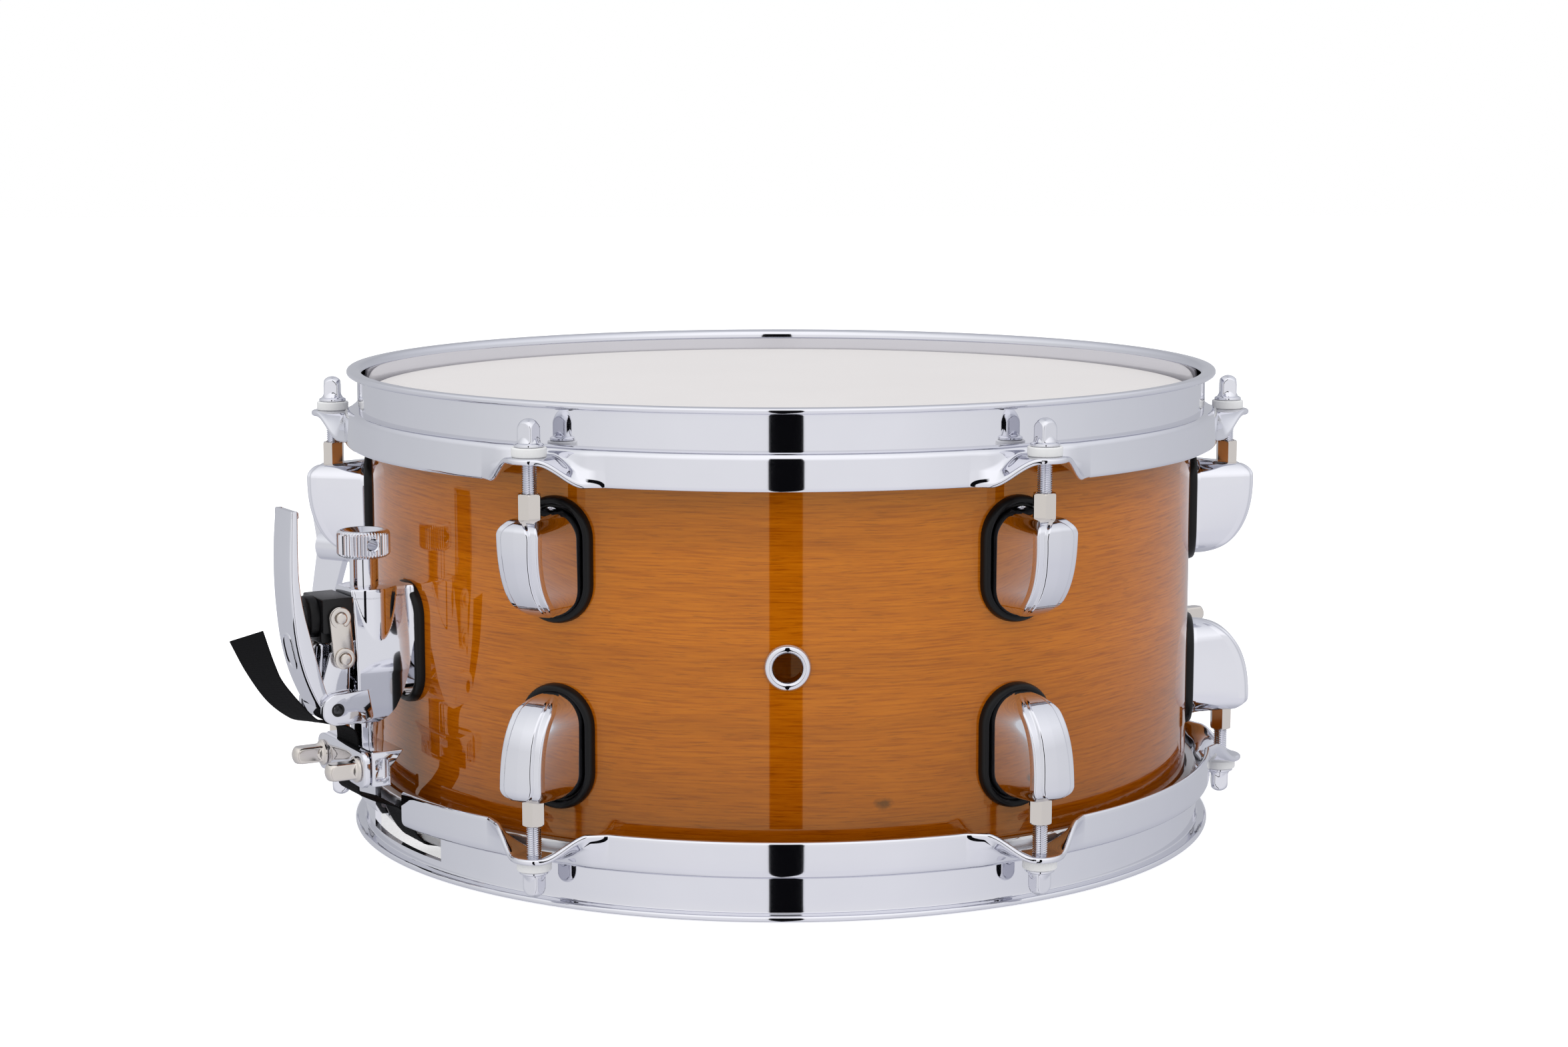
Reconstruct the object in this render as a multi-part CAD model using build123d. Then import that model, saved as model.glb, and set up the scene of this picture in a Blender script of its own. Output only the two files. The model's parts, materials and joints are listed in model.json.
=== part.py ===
"""Snare drum, 13 x 6.5 inches, with six single-ended lugs a side, a lever strainer and a mounting bracket.

Frame: +Z is the drum's axis, the origin is the middle of the bottom hoop's rim, the front faces -Y.
Hardware is drawn in a local frame with +X pointing out of the shell, +Y along it and +Z up,
and at() then turns it to its place: angle 0 is the front and +90 is the +X side. Sizes are millimetres.
"""

import os

from build123d import *

# Overall
HEIGHT = 182.4
MID = HEIGHT / 2
SHELL_R = 164.3
SHELL_WALL = 6.2
SHELL_LOW = 8.65
SHELL_TOP = HEIGHT - SHELL_LOW
FILM = 0.35
FILM_END = 161.5

# Around the drum, degrees from the front
LUG_ANGLES = [-150, -90, -30, 30, 90, 150]
STRAINER_ANGLE = -60
BUTT_ANGLE = 120
BRACKET_ANGLE = -120

# Triple-flanged hoop
HOOP_T = 2.3
HOOP_WALL_R = 167.1
HOOP_RIM_R = 173.5
HOOP_SKIRT_R = 174.5
HOOP_LEDGE_Z = 167.0
HOOP_SKIRT_LOW = 153.1
EAR_TOP = 163.8
EAR_TIP_R = 189.3
EAR_HALF = 8.4
EAR_SHOULDER = 5.6
EAR_FOOT = 21.5
EAR_SPREAD = 28.0
GATE_HALF = 31.0
GATE_LOW = 5.8
GATE_TOP = 14.4
STRAP_NOTCH = 12.0

# Tension rods, washers and swivel nuts
ROD_CIRCLE_R = 180.85
ROD_R = 2.78
ROD_END = 128.5
RUNNING_GAP = 0.05
WASHER_T = 3.4
WASHER_R = 6.3
HEAD_FLANGE_R = 5.35
HEAD_SQUARE = 6.35
HEAD_TOP = 177.3
NUT_FLATS = 7.8
NUT_TOP = 150.8
NUT_LOW = 126.0

# Lugs
LUG_CENTRE_Z = 125.2
LUG_TIP_R = 191.2
LUG_FACE_HALF = 6.2
LUG_SIDE_HALF = 8.7
LUG_BASE_HALF = 12.0
GASKET_HALF = 15.2
GASKET_HEIGHT = 46.0
GASKET_T = 1.5
BEAD_T = 3.4
SCREW_R = 2.0

# Strainer
KNOB_AXIS_R = 182.0
KNOB_R = 10.0
KNOB_LOW = 118.3
KNOB_TOP = 128.5
SLEEVE_R = 5.35
STEM_R = 2.5
BODY_TOP = 107.4
BODY_HALF = 12.4
CHANNEL_HALF = 8.2
PIVOT_R = 198.5
PIVOT_Z = 63.5
PIVOT_PIN_R = 2.5
LEVER_HALF = 9.0
LEVER_WALL = 1.5
LINK_TOP = (196.7, 98.0)
LINK_LOW = (195.3, 82.6)
LINK_HALF_WIDTH = 4.1
LINK_IN = 10.4
LINK_OUT = 12.0
LINK_PIN_R = 2.1
CLAMP_LOW = 35.0
CLAMP_TOP = 48.2
CLAMP_HALF = 22.0
CLAMP_FACE_R = 189.6
PLATE_T = 2.8
KEY_SPREAD = 16.5
KEY_Z = 41.4
KEY_TIP_R = 205.0

# Strap and snare wires
STRAP_HALF = 10.0
STRAP_T = 0.7
STRAP_LOW_Z = 5.7
WIRE_COUNT = 20
WIRE_R = 0.95
WIRE_PITCH = 2.35
WIRE_HALF_LENGTH = 138.0
WIRE_Z = 7.0
END_PLATE_LENGTH = 14.0

# Butt plate and mounting bracket
BUTT_KEY_Z = 64.0
BRACKET_Z = 90.6
BRACKET_BORE_R = 5.25
BRACKET_BORE_AT = 190.0

# Heights of the screws behind the strainer, the butt plate and the bracket
STRAINER_SCREWS = (66.0, 100.0)
BUTT_SCREWS = (BUTT_KEY_Z - 12, BUTT_KEY_Z + 12)
BRACKET_SCREWS = (BRACKET_Z - 16, BRACKET_Z + 16)

os.makedirs("parts", exist_ok=True)
UNDER = Pos(0, 0, MID) * Rot(180, 0, 0) * Pos(0, 0, -MID)


# Helpers

def at(angle, shape):
    """Turn a shape drawn in the hardware frame to its place round the shell."""
    return Rot(0, 0, angle - 90) * shape


def save(name, shapes):
    """Write one node; several separate solids go into one group."""
    solids = [solid for shape in shapes for solid in shape.solids()]
    export_step(Compound(solids), f"parts/{name}.step")


def profile(points):
    """Face in the X-Z plane from its corners."""
    return make_face(Polyline([(x, 0, z) for x, z in points], close=True))


def soften(face, radius, corners):
    """Round the face's corners nearest to the given points."""
    chosen = [min(face.vertices(), key=lambda v: (Vector(v) - Vector(x, 0, z)).length) for x, z in corners]
    return fillet(chosen, radius)


def slab(face, low, high):
    """Give an X-Z face a thickness along Y, from low to high."""
    return Pos(0, low, 0) * extrude(face, amount=high - low, dir=(0, 1, 0))


def block(x, y, z):
    """Box from three (low, high) pairs."""
    middle = Pos((x[0] + x[1]) / 2, (y[0] + y[1]) / 2, (z[0] + z[1]) / 2)
    return middle * Box(x[1] - x[0], y[1] - y[0], z[1] - z[0])


def rod_x(radius, y, z, low, high):
    """Round bar along X."""
    return Pos((low + high) / 2, y, z) * Rot(0, 90, 0) * Cylinder(radius, high - low)


def rod_y(radius, x, z, low, high):
    """Round bar along Y."""
    return Pos(x, (low + high) / 2, z) * Rot(90, 0, 0) * Cylinder(radius, high - low)


def rod_z(radius, x, y, low, high):
    """Round bar along Z."""
    return Pos(x, y, (low + high) / 2) * Cylinder(radius, high - low)


def tube(inner, outer, low, high):
    """Ring about the drum's axis."""
    return rod_z(outer, 0, 0, low, high) - rod_z(inner, 0, 0, low - 1, high + 1)


def turned(points, x=0.0):
    """Revolve an X-Z outline, given about its own axis, round a vertical axis at x."""
    return Pos(x, 0, 0) * revolve(profile(points), Axis.Z)


def pad(half_width, height, centre_z, corner, low, high):
    """Plate with rounded corners that faces along X."""
    face = Plane.YZ * RectangleRounded(2 * half_width, height, corner)
    return Pos(low, 0, centre_z) * extrude(face, amount=high - low)


# Shell and vent

def shell():
    outline = [
        (SHELL_R, SHELL_LOW + 2.2),
        (SHELL_R - 1.6, SHELL_LOW),
        (SHELL_R - 2.4, SHELL_LOW),
        (SHELL_R - SHELL_WALL, SHELL_LOW + SHELL_WALL - 2.4),
        (SHELL_R - SHELL_WALL, SHELL_TOP - SHELL_WALL + 2.4),
        (SHELL_R - 2.4, SHELL_TOP),
        (SHELL_R - 1.6, SHELL_TOP),
        (SHELL_R, SHELL_TOP - 2.2),
    ]
    body = revolve(profile(outline), Axis.Z)
    bed_depth, bed_curve = 1.6, 700.0
    bed = rod_x(bed_curve, 0, SHELL_LOW + bed_depth - bed_curve, -SHELL_R - 5, SHELL_R + 5)
    body -= at(STRAINER_ANGLE, bed)
    body -= rod_y(6.35, 0, MID - 1.4, -SHELL_R - 2, -SHELL_R + SHELL_WALL + 2)
    for angle in LUG_ANGLES:
        for z in lug_screw_heights():
            hole = rod_x(SCREW_R + 0.2, 0, z, SHELL_R - 8, SHELL_R + 2)
            body -= at(angle, hole)
            body -= at(angle, UNDER * hole)
    for angle, z in plate_screws():
        body -= at(angle, rod_x(SCREW_R + 0.2, 0, z, SHELL_R - 8, SHELL_R + 2))
    return body


def lug_screw_heights():
    return [LUG_CENTRE_Z - 11.0, LUG_CENTRE_Z + 8.0]


def plate_screws():
    """Angle and height of each screw that holds the strainer, the butt plate and the bracket."""
    places = {STRAINER_ANGLE: STRAINER_SCREWS, BUTT_ANGLE: BUTT_SCREWS, BRACKET_ANGLE: BRACKET_SCREWS}
    return [(angle, z) for angle, heights in places.items() for z in heights]


def vent_grommet():
    """Flanged eyelet that lines the air hole at the front."""
    bore, sleeve, flange = 5.3, 6.25, 8.5
    outline = [(bore, 0), (bore, 9.8), (6.1, 10.6), (flange - 0.6, 10.6), (flange, 9.9), (flange, 9.0),
               (sleeve, 9.0), (sleeve, 0)]
    eyelet = revolve(profile(outline), Axis.Z)
    return Pos(0, -SHELL_R + 8.9, MID - 1.4) * Rot(90, 0, 0) * eyelet


def vent_lock_ring():
    """Push-on ring that holds the eyelet from inside the shell."""
    y = -SHELL_R + SHELL_WALL + 0.45
    ring = rod_y(8.4, 0, MID - 1.4, y, y + 1.2)
    return ring - rod_y(6.25, 0, MID - 1.4, y - 1, y + 3)


# Heads and hoops

def head_film():
    """Batter film: flat over the bearing edge, then down into the flesh hoop."""
    top = SHELL_TOP + FILM
    collar_out, collar_in = SHELL_R + 1.6, SHELL_R + 1.6 - FILM
    outer = [(0, top), (SHELL_R - 1.0, top), (SHELL_R + 0.75, top - 1.9), (collar_out, top - 5.5),
             (collar_out, FILM_END)]
    inner = [(collar_in, FILM_END), (collar_in, top - 5.4), (SHELL_R + 0.35, top - 2.0),
             (SHELL_R - 1.2, SHELL_TOP + 0.02), (0, SHELL_TOP + 0.02)]
    return revolve(profile(outer + inner), Axis.Z)


def flesh_hoop():
    """Channel ring that grips the film's edge."""
    inner, outer, low, top = SHELL_R + 0.9, 168.8, 159.0, 164.7
    slot_in, slot_out = SHELL_R + 1.6 - FILM, SHELL_R + 1.6
    face = profile([
        (inner, low), (outer, low), (outer, top), (slot_out, top), (slot_out, FILM_END),
        (slot_in, FILM_END), (slot_in, top - 0.8), (inner, top - 0.8),
    ])
    return revolve(soften(face, 1.0, [(outer, low), (outer, top)]), Axis.Z)


def hoop_ring():
    """The rolled section: rim flange, wall, ledge and skirt."""
    wall_out = HOOP_WALL_R + HOOP_T
    skirt_in = HOOP_SKIRT_R - HOOP_T
    underside = HOOP_LEDGE_Z - HOOP_T
    face = profile([
        (HOOP_WALL_R, underside), (HOOP_WALL_R, HEIGHT), (HOOP_RIM_R, HEIGHT), (HOOP_RIM_R, HEIGHT - HOOP_T),
        (wall_out, HEIGHT - HOOP_T), (wall_out, HOOP_LEDGE_Z), (HOOP_SKIRT_R, HOOP_LEDGE_Z - 0.9),
        (HOOP_SKIRT_R, HOOP_SKIRT_LOW), (skirt_in, HOOP_SKIRT_LOW), (skirt_in, underside - 0.9),
        (skirt_in - 1.6, underside),
    ])
    face = soften(face, 2.2, [(HOOP_SKIRT_R, HOOP_LEDGE_Z - 0.9)])
    face = soften(face, 1.6, [(HOOP_WALL_R, HEIGHT)])
    face = soften(face, 1.0, [(HOOP_RIM_R, HEIGHT), (HOOP_RIM_R, HEIGHT - HOOP_T)])
    face = soften(face, 0.8, [(wall_out, HEIGHT - HOOP_T), (wall_out, HOOP_LEDGE_Z)])
    return revolve(face, Axis.Z)


def saddle_face(drop):
    """Cross-section of an ear and everything under it, lowered by drop."""
    shoulder = EAR_SHOULDER - drop * 0.45
    foot = EAR_FOOT - drop * 1.05
    top = EAR_TOP - drop
    low = HOOP_SKIRT_LOW - 6
    right = Spline((0, shoulder, top), (0, foot, HOOP_SKIRT_LOW), tangents=[(0, 1, 0), (0, 1, -0.6)])
    left = Spline((0, -shoulder, top), (0, -foot, HOOP_SKIRT_LOW), tangents=[(0, -1, 0), (0, -1, -0.6)])
    edges = [
        Line((0, -shoulder, top), (0, shoulder, top)), right,
        Line((0, foot, HOOP_SKIRT_LOW), (0, foot, low)), Line((0, foot, low), (0, -foot, low)),
        Line((0, -foot, low), (0, -foot, HOOP_SKIRT_LOW)), left,
    ]
    return make_face(Wire(edges).edges())


def hoop_ear():
    """Pressed saddle that carries one tension rod, and the opening it leaves in the skirt."""
    start, end = HOOP_WALL_R + HOOP_T - 0.4, EAR_TIP_R + 1
    over = Pos(start, 0, 0) * extrude(saddle_face(0), amount=end - start, dir=(1, 0, 0))
    under = Pos(start, 0, 0) * extrude(saddle_face(HOOP_T), amount=end - start, dir=(1, 0, 0))
    plan = make_hull(
        (Pos(ROD_CIRCLE_R, 0, 0) * Circle(EAR_HALF)).edges()
        + (Pos(HOOP_SKIRT_R - 3.6, 0, 0) * Rectangle(2, 2 * EAR_SPREAD)).edges()
    )
    plan += Pos(HOOP_SKIRT_R - 4.8, 0, 0) * Rectangle(5, 2 * EAR_FOOT + 3)
    footprint = Pos(0, 0, HOOP_SKIRT_LOW) * extrude(plan, amount=20)
    ear = (over - under) & footprint
    ear -= rod_z(3.4, ROD_CIRCLE_R, 0, 150, 170)
    opening = under & block((HOOP_SKIRT_R - HOOP_T - 0.6, HOOP_SKIRT_R + 2), (-40, 40), (140, EAR_TOP - HOOP_T))
    return ear, opening


def batter_hoop():
    hoop = hoop_ring()
    ear, opening = hoop_ear()
    for angle in LUG_ANGLES:
        hoop = hoop - at(angle, opening)
    for angle in LUG_ANGLES:
        hoop = hoop + at(angle, ear)
    return hoop


def snare_hoop(upper):
    """Same pressing turned over, with a gate each side for the snare straps."""
    hoop = UNDER * upper
    gate = block((HOOP_WALL_R - 8, HOOP_WALL_R + HOOP_T + 0.3), (-GATE_HALF, GATE_HALF), (GATE_LOW, GATE_TOP))
    skirt_top = HEIGHT - HOOP_SKIRT_LOW
    notch = make_face(Polyline([
        (0, -STRAP_NOTCH, GATE_LOW + 3), (0, STRAP_NOTCH, GATE_LOW + 3), (0, STRAP_NOTCH, skirt_top - 5),
        (0, STRAP_NOTCH + 3.5, skirt_top + 1), (0, -STRAP_NOTCH - 3.5, skirt_top + 1),
        (0, -STRAP_NOTCH, skirt_top - 5),
    ], close=True))
    notch = Pos(HOOP_WALL_R - 8, 0, 0) * extrude(notch, amount=20, dir=(1, 0, 0))
    for angle in (STRAINER_ANGLE, BUTT_ANGLE):
        hoop -= at(angle, gate + notch)
    return hoop


# Tension rods and lugs

def tension_rod():
    """Key rod: square domed head, flange and threaded shank."""
    seat = EAR_TOP + WASHER_T
    shank = rod_z(ROD_R, ROD_CIRCLE_R, 0, ROD_END, seat + 0.5)
    flange = turned([(0, seat), (HEAD_FLANGE_R - 0.4, seat), (HEAD_FLANGE_R, seat + 0.5),
                     (HEAD_FLANGE_R, seat + 1.0), (3.9, seat + 3.2), (0, seat + 3.2)], ROD_CIRCLE_R)
    square = block((ROD_CIRCLE_R - HEAD_SQUARE / 2, ROD_CIRCLE_R + HEAD_SQUARE / 2),
                   (-HEAD_SQUARE / 2, HEAD_SQUARE / 2), (seat + 1, HEAD_TOP))
    dome = turned([(0, seat), (4.05, seat), (4.05, HEAD_TOP - 3.2), (3.5, HEAD_TOP - 1.4),
                   (2.2, HEAD_TOP - 0.3), (0, HEAD_TOP)], ROD_CIRCLE_R)
    return shank + flange + (square & dome)


def nylon_washer():
    ring = rod_z(WASHER_R, ROD_CIRCLE_R, 0, EAR_TOP, EAR_TOP + WASHER_T)
    return ring - rod_z(ROD_R + 0.3, ROD_CIRCLE_R, 0, EAR_TOP - 1, EAR_TOP + WASHER_T + 1)


def swivel_nut():
    """Hexagonal above the lug, round inside it."""
    hexagon = extrude(RegularPolygon(NUT_FLATS / 2, 6, major_radius=False), amount=NUT_TOP - 136)
    nut = Pos(ROD_CIRCLE_R, 0, 136) * hexagon
    nut += rod_z(3.9, ROD_CIRCLE_R, 0, NUT_LOW, 136)
    return nut - rod_z(ROD_R + RUNNING_GAP, ROD_CIRCLE_R, 0, NUT_LOW - 1, NUT_TOP + 1)


def nut_retainer():
    """Nylon collar that steadies the swivel nut in the lug."""
    return rod_z(5.4, ROD_CIRCLE_R, 0, 127, 134) - rod_z(3.95, ROD_CIRCLE_R, 0, 126, 135)


def lug_side(inset):
    """Side outline of a lug, drawn in by inset on its outer edge."""
    top, low, tip = 144.6, 104.6, LUG_TIP_R - inset
    edges = [
        Line((160, 0, top), (183.5 - inset, 0, 141.9 - inset * 0.4)),
        Spline((183.5 - inset, 0, 141.9 - inset * 0.4), (tip, 0, 136.8), tangents=[(1, 0, -0.22), (0.02, 0, -1)]),
        Spline((tip, 0, 136.8), (tip - 0.9, 0, 123.5), (tip - 11.3, 0, 107.6 + inset), (160, 0, low + inset * 0.6),
               tangents=[(0.02, 0, -1), (-1, 0, -0.05)]),
        Line((160, 0, low + inset * 0.6), (160, 0, top)),
    ]
    return make_face(Wire(edges).edges())


def lug():
    """Single-ended lug: raised central face, recessed sides and flared flanks."""
    body = slab(lug_side(0), -LUG_FACE_HALF, LUG_FACE_HALF)
    body += slab(lug_side(1.6), -LUG_SIDE_HALF, LUG_SIDE_HALF)
    flare = make_face(Polyline([
        (160, LUG_BASE_HALF, 0), (168.5, LUG_BASE_HALF, 0), (187, LUG_SIDE_HALF - 0.3, 0),
        (187, -LUG_SIDE_HALF + 0.3, 0), (168.5, -LUG_BASE_HALF, 0), (160, -LUG_BASE_HALF, 0),
    ], close=True))
    flare = Pos(0, 0, 95) * extrude(flare, amount=60)
    outline = pad(LUG_BASE_HALF, 39.4, LUG_CENTRE_Z - 0.4, 11, 160, 188)
    body += slab(lug_side(3.2), -LUG_BASE_HALF, LUG_BASE_HALF) & flare & outline
    body -= rod_z(SHELL_R + GASKET_T, 0, 0, 95, 155)
    body -= rod_z(5.45, ROD_CIRCLE_R, 0, 126, 150)
    body -= rod_z(ROD_R + 1, ROD_CIRCLE_R, 0, 118, 128)
    for z in lug_screw_heights():
        body -= rod_x(SCREW_R, 0, z, 160, 174)
    return body


def lug_gasket(casting):
    """Rubber seat under a lug, with a bead that wraps its foot."""
    whole = pad(GASKET_HALF, GASKET_HEIGHT, LUG_CENTRE_Z, 15, 160, 172)
    foot = pad(LUG_BASE_HALF, 39.4, LUG_CENTRE_Z - 0.4, 11, 158, 174)
    seat = whole & tube(SHELL_R, SHELL_R + GASKET_T, 95, 155)
    bead = (whole - foot) & tube(SHELL_R, SHELL_R + BEAD_T, 95, 155)
    gasket = seat + (bead - casting)
    for z in lug_screw_heights():
        gasket -= rod_x(SCREW_R + 0.3, 0, z, 160, 174)
    return gasket


def shell_screw(z, length=9.0):
    """Pan-head screw driven from inside the shell, with its washer under the head."""
    inside = SHELL_R - SHELL_WALL - 0.25
    head = rod_x(3.9, 0, z, inside - 1.0 - 2.6, inside - 1.0)
    screw = head + rod_x(SCREW_R - 0.05, 0, z, inside - 1.2, SHELL_R + length)
    washer = rod_x(5.0, 0, z, inside - 1.0, inside) - rod_x(SCREW_R + 0.1, 0, z, inside - 2, inside + 1)
    return screw, washer


def key_screw(y, z, face):
    """Square-headed clamp screw whose head stands out along +X from the given face."""
    flange = rod_x(5.0, y, z, face, face + 1.3)
    neck = rod_x(3.7, y, z, face + 1, face + 3)
    head = block((face + 2, KEY_TIP_R - 192.4 + face), (y - 3.1, y + 3.1), (z - 3.1, z + 3.1))
    head &= rod_x(3.9, y, z, face + 1, face + 20)
    shank = rod_x(2.4, y, z, face - 11.0, face + 0.5)
    return flange + neck + head + shank


# Strainer

def foot_gasket(half, height, centre, casting, screw_heights):
    """Rubber seat with a bead, for the strainer, butt plate and bracket."""
    whole = pad(half, height, centre, half - 1, 155, 172)
    foot = pad(half - 3.0, height - 6.0, centre, half - 4.0, 154, 174)
    low, high = centre - height, centre + height
    gasket = whole & tube(SHELL_R, SHELL_R + GASKET_T, low, high)
    gasket += ((whole - foot) & tube(SHELL_R, SHELL_R + BEAD_T, low, high)) - casting
    for z in screw_heights:
        gasket -= rod_x(SCREW_R + 0.3, 0, z, 160, 170)
    return gasket


def strainer_body():
    """Casting with a round boss for the slide and two ears for the lever's pivot."""
    foot = pad(11.2, 42.5, 84.6, 9, 160, 171)
    boss = rod_z(10.6, KNOB_AXIS_R - 1.0, 0, 70, BODY_TOP) + block((166, 181), (-10.4, 10.4), (66, BODY_TOP))
    cheek = profile([
        (170, BODY_TOP), (190.2, BODY_TOP), (189.2, 78), (189.6, 70.8), (198.5, 69.2), (198.5, 57.9),
        (181, 57.4), (176, 60), (172.6, 70), (170, 84),
    ])
    cheek = soften(cheek, 5.0, [(198.5, 57.9)])
    walls = slab(cheek, -BODY_HALF, BODY_HALF)
    walls += rod_y(5.9, PIVOT_R, PIVOT_Z, -BODY_HALF, BODY_HALF)
    body = foot + boss + walls
    body -= block((173.6, 215), (-CHANNEL_HALF, CHANNEL_HALF), (40, 103.6))
    body -= block((190.6, 215), (-LEVER_HALF - 0.3, LEVER_HALF + 0.3), (40, 103))
    body -= rod_y(9.6, PIVOT_R, PIVOT_Z, -LEVER_HALF - 0.3, LEVER_HALF + 0.3)
    body -= rod_z(SLEEVE_R + RUNNING_GAP, KNOB_AXIS_R, 0, 90, 120)
    body -= rod_y(PIVOT_PIN_R + 0.02, PIVOT_R, PIVOT_Z, -20, 20)
    body -= rod_z(SHELL_R + GASKET_T, 0, 0, 50, 120)
    body -= block((190.4, 215), (-14, 14), (70.0, 120))
    for z in STRAINER_SCREWS:
        body -= rod_x(SCREW_R, 0, z, 160, 172.6)
    return body


def pivot_pin():
    """Hollow rivet through both ears and the lever."""
    pin = rod_y(PIVOT_PIN_R, PIVOT_R, PIVOT_Z, -BODY_HALF, BODY_HALF)
    return pin - rod_y(1.7, PIVOT_R, PIVOT_Z, -20, 20)


def lever_outline(inset):
    """Side outline of the throw-off lever; inset leaves the wall of its channel."""
    outer = Spline(
        (213.4 - inset, 0, 138.2 - inset), (214.6 - inset, 0, 112), (212.6 - inset, 0, 88),
        (206.6 - inset, 0, 68.5), (199.2, 0, 57.4 + inset),
        tangents=[(0.12, 0, -1), (-1, 0, -0.35)],
    )
    reach = 8 if inset else 0
    inner = Spline(
        (198.5 - reach, 0, 66.5), (201.6 - reach, 0, 70.6), (206.6 - reach, 0, 92), (208.6 - reach, 0, 112),
        (210.6 - reach, 0, 138.2 - inset),
    )
    edges = [outer, Line(outer @ 1, inner @ 0), inner, Line(inner @ 1, outer @ 0)]
    return make_face(Wire(edges).edges())


def throw_lever():
    """Channel-section lever with its pivot barrel and the two crank cheeks that drive the links."""
    lever = slab(lever_outline(0), -LEVER_HALF, LEVER_HALF)
    crank = make_hull(
        (Pos(*LINK_LOW) * Circle(3.4)).edges() + (Pos(PIVOT_R, PIVOT_Z) * Circle(5.6)).edges()
    )
    lever += slab(Plane.XZ * crank, -LEVER_HALF, LEVER_HALF)
    lever += rod_y(5.6, PIVOT_R, PIVOT_Z, -LEVER_HALF, LEVER_HALF)
    inside = LEVER_HALF - LEVER_WALL
    lever -= slab(lever_outline(LEVER_WALL), -inside, inside)
    hollow = block((180, 204.4), (-inside, inside), (69.2, 100)) + block((180, 193), (-inside, inside), (50, 90))
    lever -= hollow
    return lever - rod_y(PIVOT_PIN_R + RUNNING_GAP, PIVOT_R, PIVOT_Z, -20, 20)


def slider_block():
    """Plastic block that runs in the body's channel and carries the links."""
    narrow, wide = CHANNEL_HALF - 0.3, 9.9
    body = block((175.6, 191), (-narrow, narrow), (88, 103.2))
    body += block((190.7, 202.6), (-wide, wide), (92, 105))
    body += block((190, 202.6), (-LEVER_HALF + LEVER_WALL + 0.3, LEVER_HALF - LEVER_WALL - 0.3), (88, 93))
    body -= rod_z(SLEEVE_R + 0.02, KNOB_AXIS_R, 0, 94, 110)
    body -= rod_z(STEM_R + 0.4, KNOB_AXIS_R, 0, 80, 96)
    body -= rod_y(LINK_PIN_R + 0.02, *LINK_TOP, -20, 20)
    return body - rod_x(1.6, 0, 97.5, 198.8, 204)


def slider_sleeve():
    """Chrome tube between the knob and the slider block."""
    sleeve = rod_z(SLEEVE_R, KNOB_AXIS_R, 0, 94, KNOB_LOW)
    return sleeve - rod_z(STEM_R + RUNNING_GAP, KNOB_AXIS_R, 0, 90, 120)


def lever_bumper():
    """Rubber stop between the slider block and the closed lever, held by its moulded stud."""
    return rod_x(8.0, 0, 97.5, 202.6, 206.6) + rod_x(1.6, 0, 97.5, 198.8, 203)


def link_plates():
    plate = make_hull(
        (Pos(*LINK_TOP) * Circle(LINK_HALF_WIDTH)).edges() + (Pos(*LINK_LOW) * Circle(LINK_HALF_WIDTH)).edges()
    )
    plates = []
    for low, high in ((LINK_IN, LINK_OUT), (-LINK_OUT, -LINK_IN)):
        plate_solid = slab(Plane.XZ * plate, low, high)
        plate_solid -= rod_y(LINK_PIN_R + RUNNING_GAP, *LINK_TOP, -20, 20)
        plates.append(plate_solid - rod_y(LINK_PIN_R, *LINK_LOW, -20, 20))
    return plates


def link_top_pin():
    """Through pin in the slider block; the links swing on its ends."""
    return rod_y(LINK_PIN_R, *LINK_TOP, -14.2, 14.2)


def link_low_pins():
    """Short studs riveted to the links, which end just outside the crank's cheeks."""
    return [rod_y(LINK_PIN_R, *LINK_LOW, low, high) for low, high in ((9.3, 14.2), (-14.2, -9.3))]


def retaining_clip(x, z, low, high):
    """Open spring clip on the end of a pin."""
    clip = rod_y(3.9, x, z, low, high) - rod_y(LINK_PIN_R + 0.02, x, z, low - 1, high + 1)
    return clip - block((x - 1.3, x + 1.3), (low - 1, high + 1), (z - 6, z))


def clips(pin):
    return [retaining_clip(*pin, 12.1, 12.9), retaining_clip(*pin, -12.9, -12.1)]


def tension_knob():
    """Knurled knob with its threaded stem."""
    knob = turned([(0, KNOB_LOW), (8.6, KNOB_LOW), (9.4, KNOB_LOW + 0.8), (9.4, KNOB_TOP - 1.4),
                   (8.2, KNOB_TOP), (6.0, KNOB_TOP), (4.8, KNOB_TOP - 2.2), (0, KNOB_TOP - 2.2)], KNOB_AXIS_R)
    rib_count = 30
    band = turned([(9.2, KNOB_LOW + 1.4), (KNOB_R, KNOB_LOW + 1.8), (KNOB_R, KNOB_TOP - 2.0),
                   (9.2, KNOB_TOP - 1.6)], KNOB_AXIS_R)
    groove = rod_z(0.42, KNOB_AXIS_R + KNOB_R, 0, KNOB_LOW, KNOB_TOP)
    grooves = [
        Pos(KNOB_AXIS_R, 0, 0) * Rot(0, 0, 360 * i / rib_count) * Pos(-KNOB_AXIS_R, 0, 0) * groove
        for i in range(rib_count)
    ]
    knob = knob + (band - grooves)
    knob -= rod_y(2.05, KNOB_AXIS_R, 123.6, -12, 12)
    stem = rod_z(STEM_R, KNOB_AXIS_R, 0, 40.0, 120.0)
    return knob + stem


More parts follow.
